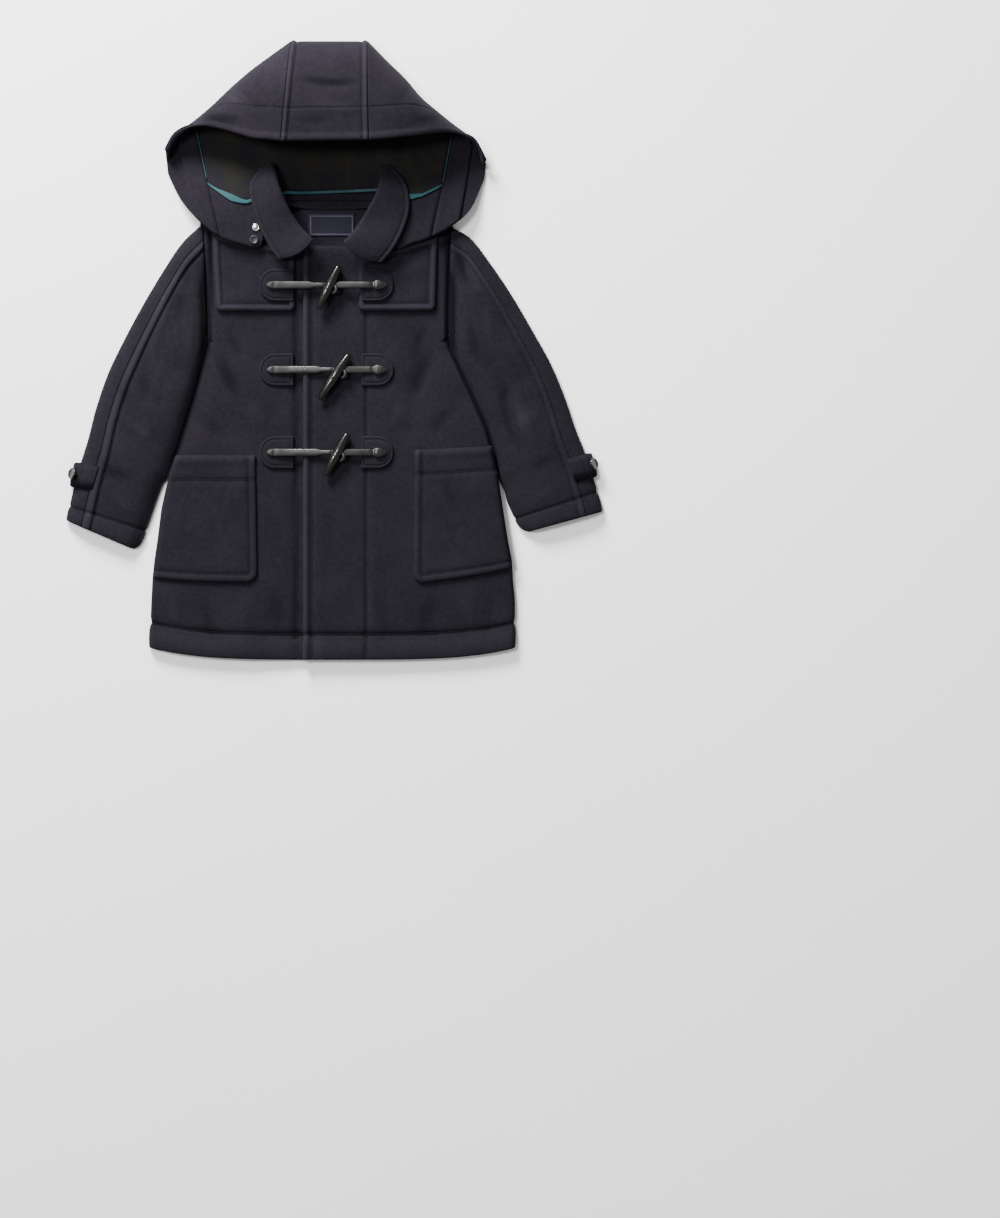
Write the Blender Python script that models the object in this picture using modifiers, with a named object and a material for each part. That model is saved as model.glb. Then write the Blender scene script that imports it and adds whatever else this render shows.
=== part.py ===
"""A child's duffle coat of dark wool melton, laid flat and face up, with its hood thrown up.

Sizes are in millimetres and become metres where a mesh is made. +X is the wearer's left, +Y
runs from the hem to the hood, and +Z is up off the surface that the coat lies on. The word
"near" means the wearer's right side, at -X, and "far" the wearer's left side, at +X.
"""

import math

import bmesh
import bpy
import numpy as np
from mathutils import Vector

MM = 0.001
HOME = Vector((-1.399, -2.25, 0.0))    # brings the middle of the laid coat over the origin

# Driving sizes of the cloth
WALL = 3.0            # melton with its lining
SEAM = 0.3            # space left between two pieces that are sewn together
LAID = 9.6            # height of a front and a back that lie on each other
EDGE_RADIUS = LAID / 2
THIN = 1.2            # lining, facing and tape
LAYER_GAP = 0.8       # between soft layers that lie on each other
PATCH = 2.0           # toggle patches
LEATHER = 2.2

# Outline of the body from hem to underarm: a row for each level
BODY_COLUMNS = ("y", "near", "far", "seam_in")
BODY = (
    (-325, -202.4, 200.2, 27),
    (-272, -200.2, 200.2, 27),
    (-250, -199.1, 198.0, 27),
    (-228, -196.9, 196.9, 27),
    (-206, -193.6, 192.5, 27),
    (-171, -189.2, 187.0, 27),
    (-134, -180.4, 181.5, 27),
    (-110, -171.5, 176.0, 27),
    (-85, -163.9, 169.4, 26),
    (-52, -154.0, 155.1, 24),
    (-19, -145.2, 139.7, 18),
    (12, -136.4, 125.0, 6),
)
HEM_Y, UNDERARM_Y = BODY[0][0], BODY[-1][0]
HEM_SAG = 13.0
SAG_TOP_Y = -134.0

# Shoulders and neck
NECK_POINT = {"near": (-76.0, 170.0), "far": (76.0, 170.0)}
SHOULDER_TIP = {"near": (-141.5, 144.0), "far": (127.5, 140.0)}
BACK_NECK_Y, BACK_NECK_RISE = 158.0, 12.0
FRONT_NECK_Y = 118.0
LEVEL_NECK_X = 24.0           # half of the stretch where the front's neck edge is level

# Where the two fronts overlap
OVER_EDGE_X = -33.0
UNDER_EDGE_X = 36.0

# Sleeves from armhole to cuff: the outer and the inner edge at each station
# columns: outer_x, outer_y, inner_x, inner_y
SLEEVE = {
    "near": (
        (-144.1, 141.5, -136.8, 12.0),
        (-166.0, 121.0, -142.3, -6.0),
        (-187.0, 90.0, -148.4, -28.0),
        (-208.0, 55.0, -155.1, -53.0),
        (-228.0, 18.0, -162.7, -78.0),
        (-247.0, -21.0, -170.7, -104.0),
        (-261.0, -61.0, -180.5, -129.0),
        (-270.0, -96.0, -189.5, -150.0),
        (-281.0, -131.0, -196.4, -169.0),
        (-289.0, -163.0, -203.4, -189.5),
        (-293.7, -185.0, -215.0, -218.5),
    ),
    "far": (
        (130.1, 138.5, 125.4, 12.0),
        (152.0, 125.0, 133.0, -3.0),
        (174.0, 97.0, 142.9, -24.0),
        (198.0, 61.0, 154.6, -49.0),
        (219.0, 25.0, 166.1, -75.0),
        (239.0, -11.0, 174.6, -100.0),
        (254.5, -48.0, 181.0, -124.0),
        (266.0, -82.0, 187.0, -146.0),
        (280.0, -117.0, 191.5, -164.0),
        (290.0, -150.0, 199.0, -181.0),
        (296.5, -175.0, 209.0, -199.0),
    ),
}
SLEEVE_FRONT_SEAM = 21.0     # from the outer edge, on the front
SLEEVE_BACK_SEAM = 26.0      # from the inner edge, on the underside
CUFF_CORNER = 9.0            # the cuff's inner corner is round

# Hood: a fan of sections, each from the neck or free edge over the fold to the brim
# columns: edge_x, edge_y, fold_x, fold_y, brim_x, brim_y, height, radius, tape
HOOD = {
    "near": (
        (-37, 172, -46.5, 342.5, -56.5, 229.3, 64, 9.0, 4.5),
        (-60, 170, -68, 327, -70, 231, 62, 9.0, 5),
        (-74, 149, -91, 310, -86, 232.5, 58, 9.0, 22),
        (-79, 116, -113, 291, -100, 236.5, 52, 8.5, 53),
        (-101, 118, -134, 271, -121, 243, 45, 8.0, 54),
        (-124, 126, -153, 255, -140, 247, 37, 7.5, 62),
        (-145, 142, -167.5, 244, -157, 246.5, 30, 7.0, 62),
        (-167, 167, -178.5, 231.5, -172, 239.5, 22, 6.5, 62),
        (-181.6, 196, -184, 215, -182, 225, 15, 6.0, 62),
    ),
    "far": (
        (41, 173, 38.5, 342.5, 40.5, 230.5, 64, 9.0, 4.5),
        (60, 170, 61.5, 319, 59, 232, 62, 9.0, 5),
        (72, 150, 80, 301, 76, 234, 58, 9.0, 24),
        (69, 114, 97, 281, 92, 236, 52, 8.5, 59),
        (88, 119, 115, 265.5, 108, 238.5, 45, 8.0, 52),
        (108, 126, 133, 251, 124, 240, 37, 7.5, 57),
        (130, 138, 148.5, 239.5, 140, 238.5, 30, 7.0, 57),
        (151, 157, 161.8, 226, 155, 232, 22, 6.5, 57),
        (166, 190, 168, 204, 166, 212, 15, 6.0, 57),
    ),
}
HOOD_LINED_ROW = 5           # the lining ends at this row of each table; beyond it is facing
HOOD_FACED_ROW = 6.4         # the facing stops just short of the corner
HOOD_FACED_COLUMN = 17       # and reaches this point of each section, just past the fold
HOOD_OVER_SHOULDER = 15.7
FACING_WIDTH = 40.0
HOOD_ROWS = 13
GUSSET_STEPS = 3
COLLAR_OVER_FRONT = 23.5

# Collar halves: fold line and outer edge from the front end to the back
# columns: fold_x, fold_y, edge_x, edge_y, rise, bow
COLLAR = {
    "near": (
        (-21, 123, -60, 102, 7, 6),
        (-37, 140, -72, 119, 11, 2),
        (-48, 158, -84, 147, 13, 0),
        (-56, 176, -92, 180, 12, 0),
        (-61, 193, -84, 197, 8, 0),
        (-65, 208, -74, 210, 4, 0),
    ),
    "far": (
        (12, 121, 54, 98.5, 7, 7),
        (23.5, 134, 70, 118, 11, 2),
        (34, 150, 83, 149, 13, 0),
        (45.5, 170, 84, 172, 12, 0),
        (51, 188, 77, 191, 8, 0),
        (50, 204, 61, 207, 4, 0),
    ),
}
COLLAR_WALL = 2.4
COLLAR_CLEAR = 0.3            # between a leaf and the tape that it lies on
COLLAR_ROLL = 3.6

# Fastenings: level of the straps, the toggle's top and end, and whether they lie on the flaps
FASTENINGS = (
    (74.0, (4.5, 95.0), (-16.5, 50.0), True),
    (-19.0, (16.5, -2.0), (-13.0, -52.0), False),
    (-110.0, (16.5, -89.0), (-9.0, -136.0), False),
)
TOGGLE_RADIUS = 5.2
STRAP_WIDTH = 8.0
PATCH_HALF_HEIGHT = 18.0
TOGGLE_LIFT = 1.0             # over the front, and more over a shoulder flap
TOGGLE_FLAP_LIFT = 1.2
NEAR_PATCH_X = (-81.5, -43.0)
FAR_PATCH_X = (31.0, 67.0)
NEAR_TIP_X, NEAR_LIFT_X = -73.0, -50.0      # the loop lies on its patch between these
FAR_LIFT_X, FAR_SEWN_X, FAR_TIP_X = 31.0, 41.0, 59.5
STRAP_END = ((14.0, 8.0), (10.0, 11.5), (5.0, 9.0), (0.0, 2.0))     # distance from the tip, width

# Shoulder flaps: level, outer edge and inner edge, at the bottom and higher up
FLAP = {
    "near": ((44.6, -128.7, -41.0), (129.0, -133.5, -41.0)),
    "far": ((45.0, 113.3, 27.5), (118.0, 115.5, 28.5)),
}
FLAP_TOP = {"near": (132.0, 112.0), "far": (129.0, 104.0)}
FLAP_WALL = 2.8
FLAP_CORNER = 7.0

# Pockets: level inside, level at the side and inner edge, at the top and at the bottom
POCKET = {
    "near": ((-112.8, -112.8, -85.0), (-245.5, -247.7, -82.7)),
    "far": ((-107.3, -103.0, 89.5), (-247.5, -237.5, 88.0)),
}
POCKET_WALL = 2.6
POCKET_CORNER = 6.0
POCKET_START = 5.0

STAND_HALF, STAND_TOP_Y = 52.0, 171.5
FACING_HALF = 44.0
FACING_LOW_Y = 100.0
LABEL_X = (-27.5, 24.0)
LABEL_Y = (153.0, 127.5)
LABEL_THICKNESS = 0.6

TAB_STATION = {"near": (31.6, 32.4), "far": (32.1, 32.8)}   # of 40 along the sleeve, at both ends
TAB_HALF = 1.9
TAB_CORNER = (0.0, 0.0, 0.0, 0.0, 0.05, 0.12, 0.3, 0.65)   # how much shorter each column is
TAB_START, TAB_TURN, TAB_END = 24.0, 9.0, -0.5      # ways from the sleeve's outer edge
TAB_OVER = 6.5                # where it starts round the sleeve's edge
TAB_CLEAR = 0.5               # between the sleeve and the tab
TAB_RISE = 3.4                # of the free end off the sleeve
BUTTON_TILT = math.radians(36)
TAB_WALL = 2.4
BUTTON_RADIUS, BUTTON_THICK = 6.6, 3.0
BUTTON_CLEAR = 0.6            # between the button and its tab


# ---------------------------------------------------------------- helpers

def column(rows, names, name):
    """One named column of a table, as an array."""
    return np.array([row[names.index(name)] for row in rows], dtype=float)


def smoothstep(low, high, value):
    """0 below low, 1 above high, and a soft step between them."""
    t = np.clip((value - low) / (high - low), 0.0, 1.0)
    return t * t * (3.0 - 2.0 * t)


def spline(rows, count):
    """Catmull-Rom through the rows of a table, read at count even steps."""
    points = np.array(rows, dtype=float)
    padded = np.vstack((2 * points[0] - points[1], points, 2 * points[-1] - points[-2]))
    out = []
    for place in np.linspace(0, len(points) - 1, count):
        i = min(int(place), len(points) - 2)
        t = place - i
        a, b, c, d = padded[i:i + 4]
        out.append(0.5 * (2 * b + (c - a) * t + (2 * a - 5 * b + 4 * c - d) * t * t
                          + (3 * b - a - 3 * c + d) * t ** 3))
    return np.array(out)


def placed(point):
    """A point of the tables' frame as a point of the world, in metres."""
    return (Vector(point) + HOME) * MM


def grid_normals(grid):
    """Unit normals of a grid of points, pointing up where the grid is highest."""
    along = np.gradient(grid, axis=0)
    across = np.gradient(grid, axis=1)
    normals = np.cross(along, across)
    normals /= np.maximum(np.linalg.norm(normals, axis=2, keepdims=True), 1e-9)
    top = np.unravel_index(np.nanargmax(grid[:, :, 2]), grid.shape[:2])
    return normals if normals[top][2] > 0 else -normals


def moved_out(grid, distance):
    """The same grid, moved along its normals."""
    return grid + grid_normals(grid) * distance


def material(name, color, roughness, metallic=0.0):
    found = bpy.data.materials.get(name)
    if found:
        return found
    made = bpy.data.materials.new(name)
    made.use_nodes = True
    shader = made.node_tree.nodes["Principled BSDF"]
    shader.inputs["Base Color"].default_value = (*color, 1.0)
    shader.inputs["Roughness"].default_value = roughness
    shader.inputs["Metallic"].default_value = metallic
    return made


def wool():
    return material("wool", (0.030, 0.031, 0.040), 0.95)


def lining():
    return material("lining", (0.018, 0.022, 0.018), 0.85)


def tape():
    return material("tape", (0.05, 0.33, 0.34), 0.6)


def label():
    return material("label", (0.045, 0.045, 0.10), 0.6)


def leather():
    return material("leather", (0.020, 0.016, 0.014), 0.35)


def horn():
    return material("horn", (0.035, 0.026, 0.018), 0.25)


def button():
    return material("button", (0.12, 0.12, 0.13), 0.45)


def metal():
    return material("metal", (0.75, 0.74, 0.72), 0.3, 1.0)


def add_object(name, mesh, finish):
    made = bpy.data.objects.new(name, mesh)
    made.data.materials.append(finish)
    bpy.data.collections["duffle_coat"].objects.link(made)
    return made


def cloth(name, grid, thickness, finish):
    """A wall of cloth whose outer face is the grid. Points that are not a number are left out."""
    rows, columns = grid.shape[:2]
    live = ~np.isnan(grid[:, :, 0])
    index = -np.ones((rows, columns), dtype=int)
    index[live] = np.arange(live.sum())
    faces = []
    for i in range(rows - 1):
        for j in range(columns - 1):
            corners = (index[i, j], index[i, j + 1], index[i + 1, j + 1], index[i + 1, j])
            if min(corners) >= 0:
                faces.append([int(corner) for corner in corners])
    mesh = bpy.data.meshes.new(name)
    mesh.from_pydata([placed(point) for point in grid[live]], [], faces)
    mesh.update()
    top = max(mesh.polygons, key=lambda face: face.center.z)
    if top.normal.z < 0:
        mesh.flip_normals()
    mesh.shade_smooth()
    made = add_object(name, mesh, finish)
    wall = made.modifiers.new("Wall", "SOLIDIFY")
    wall.thickness = thickness * MM
    wall.offset = -1.0
    return made


def shell_between(name, outer, inner, finish):
    """A closed wall lofted between two grids of the same size, such as part of a larger fan."""
    rows, columns = outer.shape[:2]
    count = rows * columns
    faces = []
    for i in range(rows - 1):
        for j in range(columns - 1):
            quad = (i * columns + j, i * columns + j + 1, (i + 1) * columns + j + 1, (i + 1) * columns + j)
            faces.append(quad)
            faces.append(tuple(corner + count for corner in reversed(quad)))
    rim = [j for j in range(columns)]
    rim += [i * columns + columns - 1 for i in range(1, rows)]
    rim += [(rows - 1) * columns + j for j in range(columns - 2, -1, -1)]
    rim += [i * columns for i in range(rows - 2, 0, -1)]
    for here, there in zip(rim, rim[1:] + rim[:1]):
        faces.append((there, here, here + count, there + count))
    mesh = bpy.data.meshes.new(name)
    points = np.concatenate((outer.reshape(-1, 3), inner.reshape(-1, 3)))
    mesh.from_pydata([placed(point) for point in points], [], faces)
    shaped = bmesh.new()
    shaped.from_mesh(mesh)
    if shaped.calc_volume(signed=True) < 0:
        bmesh.ops.reverse_faces(shaped, faces=shaped.faces)
    shaped.to_mesh(mesh)
    shaped.free()
    mesh.shade_smooth()
    return add_object(name, mesh, finish)


def row_at(grid, place):
    """A row of a grid, or one between two of its rows."""
    i = min(int(place), len(grid) - 2)
    return grid[i] + (grid[i + 1] - grid[i]) * (place - i)


def between_rows(grid, start, end):
    """The rows of a grid from one place to another."""
    whole = [grid[i] for i in range(math.floor(start) + 1, math.ceil(end))]
    return np.array([row_at(grid, start)] + whole + [row_at(grid, end)])


def tube_point(width, radius, along):
    """A flattened tube's section: how far in from its outer edge, and how high.

    along runs over the top from the outer edge; below 0 it runs under, and past the inner
    edge it runs under from there.
    """
    over = width - 2 * radius + math.pi * radius
    if along > over / 2:
        inward, height = tube_point(width, radius, over - along) if along <= over else \
            tube_point(width, radius, -(along - over))
        return width - inward, height
    turn = math.pi * radius / 2
    side = 1.0 if along >= 0 else -1.0
    reach = abs(along)
    if reach < turn:
        angle = reach / radius
        return radius - radius * math.cos(angle), radius + side * radius * math.sin(angle)
    return radius + reach - turn, radius + side * radius


# ---------------------------------------------------------------- the laid body

def side_x(hand, y):
    levels = column(BODY, BODY_COLUMNS, "y")
    return float(np.interp(y, levels, column(BODY, BODY_COLUMNS, hand)))


def seam_in(y):
    return float(np.interp(y, column(BODY, BODY_COLUMNS, "y"), column(BODY, BODY_COLUMNS, "seam_in")))


def armhole_x(hand, y):
    low = side_x(hand, UNDERARM_Y)
    tip_x, tip_y = SHOULDER_TIP[hand]
    share = np.clip((y - UNDERARM_Y) / (tip_y - UNDERARM_Y), 0, 1)
    return low + (tip_x - low) * share


def hem_drop(x, y):
    """How far the hem's curve pulls a level down towards the middle."""
    bow = 1.0 - min(1.0, abs(x) / 201.0) ** 4
    return -HEM_SAG * bow * float(smoothstep(SAG_TOP_Y, HEM_Y, y))


def shoulder_y(hand, x):
    (neck_x, neck_y), (tip_x, tip_y) = NECK_POINT[hand], SHOULDER_TIP[hand]
    return neck_y + (tip_y - neck_y) * (x - neck_x) / (tip_x - neck_x)


def near_top(x, y):
    """Top of the wearer's right front, which goes under the other."""
    dip = -2.7 * float(smoothstep(-104, -44, x)) * (1 - float(smoothstep(55, 95, y)))
    return LAID + dip + neck_lift(x, y) + shoulder_dip(x, y) + body_folds(x, y)


def far_top(x, y):
    """Top of the wearer's left front, which lies on the other as far as that one reaches."""
    lift = 1.1 + 2.7 * float(smoothstep(55, 95, y))
    over = lift * (1 - float(smoothstep(UNDER_EDGE_X + 3, UNDER_EDGE_X + 63, x)))
    return LAID + over + neck_lift(x, y) + shoulder_dip(x, y) + body_folds(x, y)


def neck_lift(x, y):
    """The fronts stand a little off the back at the neck."""
    beside = 1 - float(smoothstep(30, 66, abs(x)))
    return 4.6 * beside * float(smoothstep(84, 114, y))


def shoulder_dip(x, y):
    """The front comes down onto the back along the shoulder seam."""
    hand = "near" if x < 0 else "far"
    below = shoulder_y(hand, x) - y
    beside = float(smoothstep(58, 76, abs(x)))
    return -3.0 * beside * (1 - float(smoothstep(2, 22, below)))


def body_folds(x, y):
    """Long shallow folds of the body, only on the free top of it."""
    free = float(smoothstep(8, 30, side_x("far", y) - x)) * float(smoothstep(8, 30, x - side_x("near", y)))
    under_pocket = math.exp(-((x + 70 + 0.10 * y) / 16) ** 2) * math.exp(-((y + 40) / 60) ** 2)
    far_fold = math.exp(-((x - 88 - 0.06 * y) / 15) ** 2) * math.exp(-((y + 30) / 70) ** 2)
    return -1.3 * free * (under_pocket + far_fold)


def front_point(hand, inward, y):
    """A point of a front's outer face, inward being its way round from the side's edge."""
    edge = side_x(hand, y)
    width = side_x("far", y) - side_x("near", y)
    depth, height = tube_point(width, EDGE_RADIUS, inward)
    x = edge + depth if hand == "near" else edge - depth
    if inward > math.pi * EDGE_RADIUS / 2:
        top = near_top(x, y) if hand == "near" else far_top(x, y)
        height += top - LAID
    return (x, y + hem_drop(x, y), height)


def neckline_y(hand, x):
    """Neck edge of a front: level in the middle, then up to the neck point."""
    neck_x, neck_y = NECK_POINT[hand]
    share = np.clip((abs(x) - LEVEL_NECK_X) / (abs(neck_x) - LEVEL_NECK_X), 0, 1)
    return FRONT_NECK_Y + (neck_y - FRONT_NECK_Y) * share ** 1.5


def front_panel(hand, name, edge_x):
    """A front: one grid from the hem to the shoulder, whose lower rows go round the side."""
    turn = math.pi * EDGE_RADIUS / 2
    lower_levels = column(BODY, BODY_COLUMNS, "y")
    upper_levels = np.linspace(0, 1, 7)[1:]
    across = 10
    under, round_side = 3, 5
    grid = np.full((len(lower_levels) + len(upper_levels), under + round_side + across, 3), np.nan)
    for i, y in enumerate(lower_levels):
        edge = abs(edge_x - side_x(hand, y))
        hidden = max(seam_in(y) - EDGE_RADIUS, 0.5)
        ways = list(np.linspace(-turn - hidden, -turn, under + 1))[:-1]
        ways += list(np.linspace(-turn, turn, round_side + 1))[:-1]
        ways += list(np.linspace(turn, edge - EDGE_RADIUS + turn, across))
        for j, way in enumerate(ways):
            grid[i, j] = front_point(hand, way, y)
    for i, share in enumerate(upper_levels, start=len(lower_levels)):
        for j in range(across):
            level = UNDERARM_Y + share * (SHOULDER_TIP[hand][1] - UNDERARM_Y)
            start = armhole_x(hand, level)
            x = start + (edge_x - start) * j / (across - 1)
            top = upper_edge_y(hand, x)
            y = UNDERARM_Y + share * (top - UNDERARM_Y)
            height = near_top(x, y) if hand == "near" else far_top(x, y)
            grid[i, under + round_side + j] = (x, y, height)
    cloth(name, grid, WALL, wool())


def upper_edge_y(hand, x):
    """A front ends at the neck or, further out, at the shoulder seam."""
    if abs(x) < abs(NECK_POINT[hand][0]):
        return neckline_y(hand, x)
    return shoulder_y(hand, x)


def back_edge_y(x):
    """Neck edge of the back, which rises to the neck points."""
    return BACK_NECK_Y + BACK_NECK_RISE * (abs(x) / abs(NECK_POINT["near"][0])) ** 3


def back_panel():
    """The back lies on the surface between the side seams, and reaches the armholes above."""
    across = 13
    levels = list(column(BODY, BODY_COLUMNS, "y"))
    shares = np.linspace(0, 1, 7)[1:]
    grid = np.full((len(levels) + len(shares), across, 3), np.nan)
    for i, y in enumerate(levels):
        near = side_x("near", y) + seam_in(y) + SEAM + 0.2
        far = side_x("far", y) - seam_in(y) - SEAM - 0.2
        for j, x in enumerate(np.linspace(near, far, across)):
            grid[i, j] = (x, y + hem_drop(x, y), WALL)
    for i, share in enumerate(shares, start=len(levels)):
        near_level = UNDERARM_Y + share * (SHOULDER_TIP["near"][1] - UNDERARM_Y)
        far_level = UNDERARM_Y + share * (SHOULDER_TIP["far"][1] - UNDERARM_Y)
        near, far = armhole_x("near", near_level), armhole_x("far", far_level)
        for j, x in enumerate(np.linspace(near, far, across)):
            hand = "near" if x < 0 else "far"
            top = back_edge_y(x) if abs(x) < abs(NECK_POINT[hand][0]) else shoulder_y(hand, x)
            grid[i, j] = (x, UNDERARM_Y + share * (top - UNDERARM_Y), WALL)
    cloth("back", grid, WALL, wool())


# ---------------------------------------------------------------- sleeves

def corner_cut(distance, radius):
    """How far a round corner draws the edge back at a distance from the corner."""
    short = min(max(radius - distance, 0.0), radius)
    return radius - math.sqrt(radius ** 2 - short ** 2)


def sleeve_grid(hand, ways):
    """Outer face of a sleeve at the given ways round: a function of each section's half girth."""
    stations = spline(SLEEVE[hand], 12)
    grid = []
    for number, (outer_x, outer_y, inner_x, inner_y) in enumerate(stations):
        outer, inner = np.array((outer_x, outer_y)), np.array((inner_x, inner_y))
        width = float(np.linalg.norm(inner - outer))
        over = width - 2 * EDGE_RADIUS + math.pi * EDGE_RADIUS
        back_x, back_y = (stations[number - 1] - stations[number])[2:]
        back = np.array((back_x, back_y)) / math.hypot(back_x, back_y)
        row = []
        for way in ways(over):
            depth, height = tube_point(width, EDGE_RADIUS, way)
            spot = outer + (inner - outer) * depth / width
            if number == len(stations) - 1:
                spot = spot + back * corner_cut(width - depth, CUFF_CORNER)
            row.append((*spot, height))
        grid.append(row)
    return np.array(grid)


def sleeve(hand):
    turn = math.pi * EDGE_RADIUS / 2

    def front_ways(over):
        top = list(np.linspace(SLEEVE_FRONT_SEAM, over - turn, 7))[:-1]
        edge = list(np.linspace(over - turn, over + turn, 6))[:-1]
        return top + edge + list(np.linspace(over + turn, over + SLEEVE_BACK_SEAM, 3))

    def back_ways(over):
        top = list(np.linspace(SLEEVE_FRONT_SEAM - SEAM - 0.1, turn, 3))[:-1]
        edge = list(np.linspace(turn, -turn, 6))[:-1]
        flat_end = -(over - SLEEVE_BACK_SEAM - SEAM - 0.1)
        return top + edge + list(np.linspace(-turn, flat_end, 6))

    cloth(f"sleeve_front_{hand}", sleeve_grid(hand, front_ways), WALL, wool())
    cloth(f"sleeve_back_{hand}", sleeve_grid(hand, back_ways), WALL, wool())


# ---------------------------------------------------------------- hood

def hood_bed(x, y):
    """Height of the hood's lower layer, which climbs over the shoulders."""
    hand = "near" if x < 0 else "far"
    beyond = y - shoulder_y(hand, x)
    climb = HOOD_OVER_SHOULDER * (1 - float(smoothstep(-8, 84, beyond)))
    return climb * float(smoothstep(20, 80, abs(x)))


def hood_section(row, lower_steps=11, turn_steps=3, upper_steps=8, lip_steps=2):
    """One section of the hood: along the bed, round the fold and over the dome to the brim."""
    edge_x, edge_y, fold_x, fold_y, brim_x, brim_y, height, radius, _ = row
    edge, fold, brim = np.array((edge_x, edge_y)), np.array((fold_x, fold_y)), np.array((brim_x, brim_y))
    lower = float(np.linalg.norm(edge - fold))
    upper = float(np.linalg.norm(brim - fold))
    radius = min(radius, lower * 0.8)
    points = []
    for depth in np.linspace(lower, radius, lower_steps + 1)[:-1]:
        x, y = fold + (edge - fold) * depth / lower
        points.append((x, y, hood_bed(x, y)))
    for angle in np.linspace(0, math.pi / 2, turn_steps + 1)[:-1]:
        depth = radius - radius * math.sin(angle)
        x, y = fold + (edge - fold) * depth / lower
        points.append((x, y, hood_bed(x, y) + radius - radius * math.cos(angle)))
    start = hood_bed(*fold) + radius
    crest = upper * 0.75
    for angle in np.linspace(0, math.pi / 2, upper_steps + 1):
        depth = crest - crest * math.cos(angle)
        x, y = fold + (brim - fold) * depth / upper
        points.append((x, y, start + (height - start) * math.sin(angle)))
    for depth in np.linspace(crest, upper, lip_steps + 1)[1:]:
        x, y = fold + (brim - fold) * depth / upper
        points.append((x, y, height))
    return points


def hood_fan():
    """The whole fan of sections, from the near corner over the gusset to the far corner."""
    near = spline(HOOD["near"], HOOD_ROWS)[::-1]
    far = spline(HOOD["far"], HOOD_ROWS)
    middle = [near[-1] + (far[0] - near[-1]) * k / GUSSET_STEPS for k in range(1, GUSSET_STEPS)]
    return np.array([hood_section(row) for row in np.vstack((near, middle, far))])


def hood():
    """Two sides and a gusset, cut from one fan so that their seams have the same slope."""
    outer = hood_fan()
    inner = moved_out(outer, -WALL)
    near_seam = HOOD_ROWS - 1
    far_seam = near_seam + GUSSET_STEPS
    gap = 0.014                   # in rows of the gusset, about 30 mm each
    pieces = (
        ("hood_side_near", 0, near_seam),
        ("hood_gusset", near_seam + gap, far_seam - gap),
        ("hood_side_far", far_seam, len(outer) - 1),
    )
    for name, start, end in pieces:
        shell_between(name, between_rows(outer, start, end), between_rows(inner, start, end), wool())


def fan_place(hand, table_row):
    """Where a row of a hood table lies in the whole fan."""
    step = (HOOD_ROWS - 1) / (len(HOOD[hand]) - 1)
    if hand == "near":
        return HOOD_ROWS - 1 - table_row * step
    return HOOD_ROWS - 1 + GUSSET_STEPS + table_row * step


def rows_between(start, end):
    """The two places and the fan's own rows between them, so that layers bend alike."""
    low, high = sorted((start, end))
    return [low] + [k for k in range(math.floor(low) + 1, math.ceil(high))] + [high]


def tape_distance(place):
    """How far the tape lies from the lower edge at a place in the fan."""
    rows = [(fan_place(hand, k), row[-1]) for hand in HOOD for k, row in enumerate(HOOD[hand])]
    rows.sort()
    return float(np.interp(place, [row[0] for row in rows], [row[1] for row in rows]))


def hood_strip(name, places, span, count, depth, thickness, finish):
    """A strip inside the hood, depth under its outer face. span gives, for a place in the fan and
    its section's length, where the strip starts and ends along the section. With no count it
    keeps the fan's own columns, from the edge to just past the fold."""
    fan = hood_fan()
    layers = [moved_out(fan, -depth), moved_out(fan, -depth - thickness)]
    grids = [[], []]
    for place in places:
        section = row_at(fan, place)
        run = np.concatenate(([0], np.cumsum(np.linalg.norm(np.diff(section, axis=0), axis=1))))
        start, end = span(place, run[-1])
        if count:
            columns = np.interp(np.linspace(start, end, count), run, np.arange(len(run)))
        else:
            columns = [start / run[1]] + list(range(1, HOOD_FACED_COLUMN + 1))
        for layer, rows in zip(layers, grids):
            inside = row_at(layer, place)
            rows.append([[np.interp(c, np.arange(len(run)), inside[:, k]) for k in range(3)]
                         for c in columns])
    shell_between(name, np.array(grids[0]), np.array(grids[1]), finish)


def hood_inside():
    """Lining, wool facings along the edge, the tape over the neck seam and the piping."""
    near_end, far_end = fan_place("near", HOOD_LINED_ROW), fan_place("far", HOOD_LINED_ROW)
    lined = rows_between(near_end, far_end)
    first = WALL + LAYER_GAP
    second = first + THIN + LAYER_GAP
    gap = 0.15                    # in rows of a side, about 2 mm

    hood_strip("hood_lining", lined,
               lambda place, length: (tape_distance(place), length - FACING_WIDTH - 0.5),
               13, first, THIN, lining())
    hood_strip("hood_facing_brim", lined,
               lambda place, length: (length - FACING_WIDTH, length - 1.0), 4, first, THIN, wool())
    hood_strip("hood_tape", lined,
               lambda place, length: (tape_distance(place) - 4.0, tape_distance(place) + 4.0),
               3, second, 1.0, tape())
    for hand, side in (("near", -1), ("far", 1)):
        edge = fan_place(hand, HOOD_LINED_ROW)
        corner = fan_place(hand, HOOD_FACED_ROW)
        flange_end = fan_place(hand, 1.6)
        hood_strip(f"hood_facing_{hand}", rows_between(edge + side * gap, corner),
                   lambda place, length: (1.0, length - 1.0), None, first, THIN, wool())
        hood_strip(f"hood_flange_{hand}", rows_between(edge, flange_end),
                   lambda place, length: (1.0, tape_distance(place) - 0.5), 5, first, THIN, wool())
        hood_strip(f"hood_piping_{hand}", np.linspace(edge - side * 0.1, edge + side * 0.1, 2),
                   lambda place, length: (tape_distance(place) + 4.5, length - FACING_WIDTH),
                   9, second, 1.0, tape())


# ---------------------------------------------------------------- collar and neck

def collar_bed(x, y):
    """What a collar leaf lies on: the fronts and flaps at the front, the hood further up."""
    over_hood = hood_bed(x, y) + WALL + 2 * THIN + 2 * LAYER_GAP + COLLAR_CLEAR
    return over_hood + (COLLAR_OVER_FRONT - over_hood) * (1 - float(smoothstep(118, 150, y)))


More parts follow.
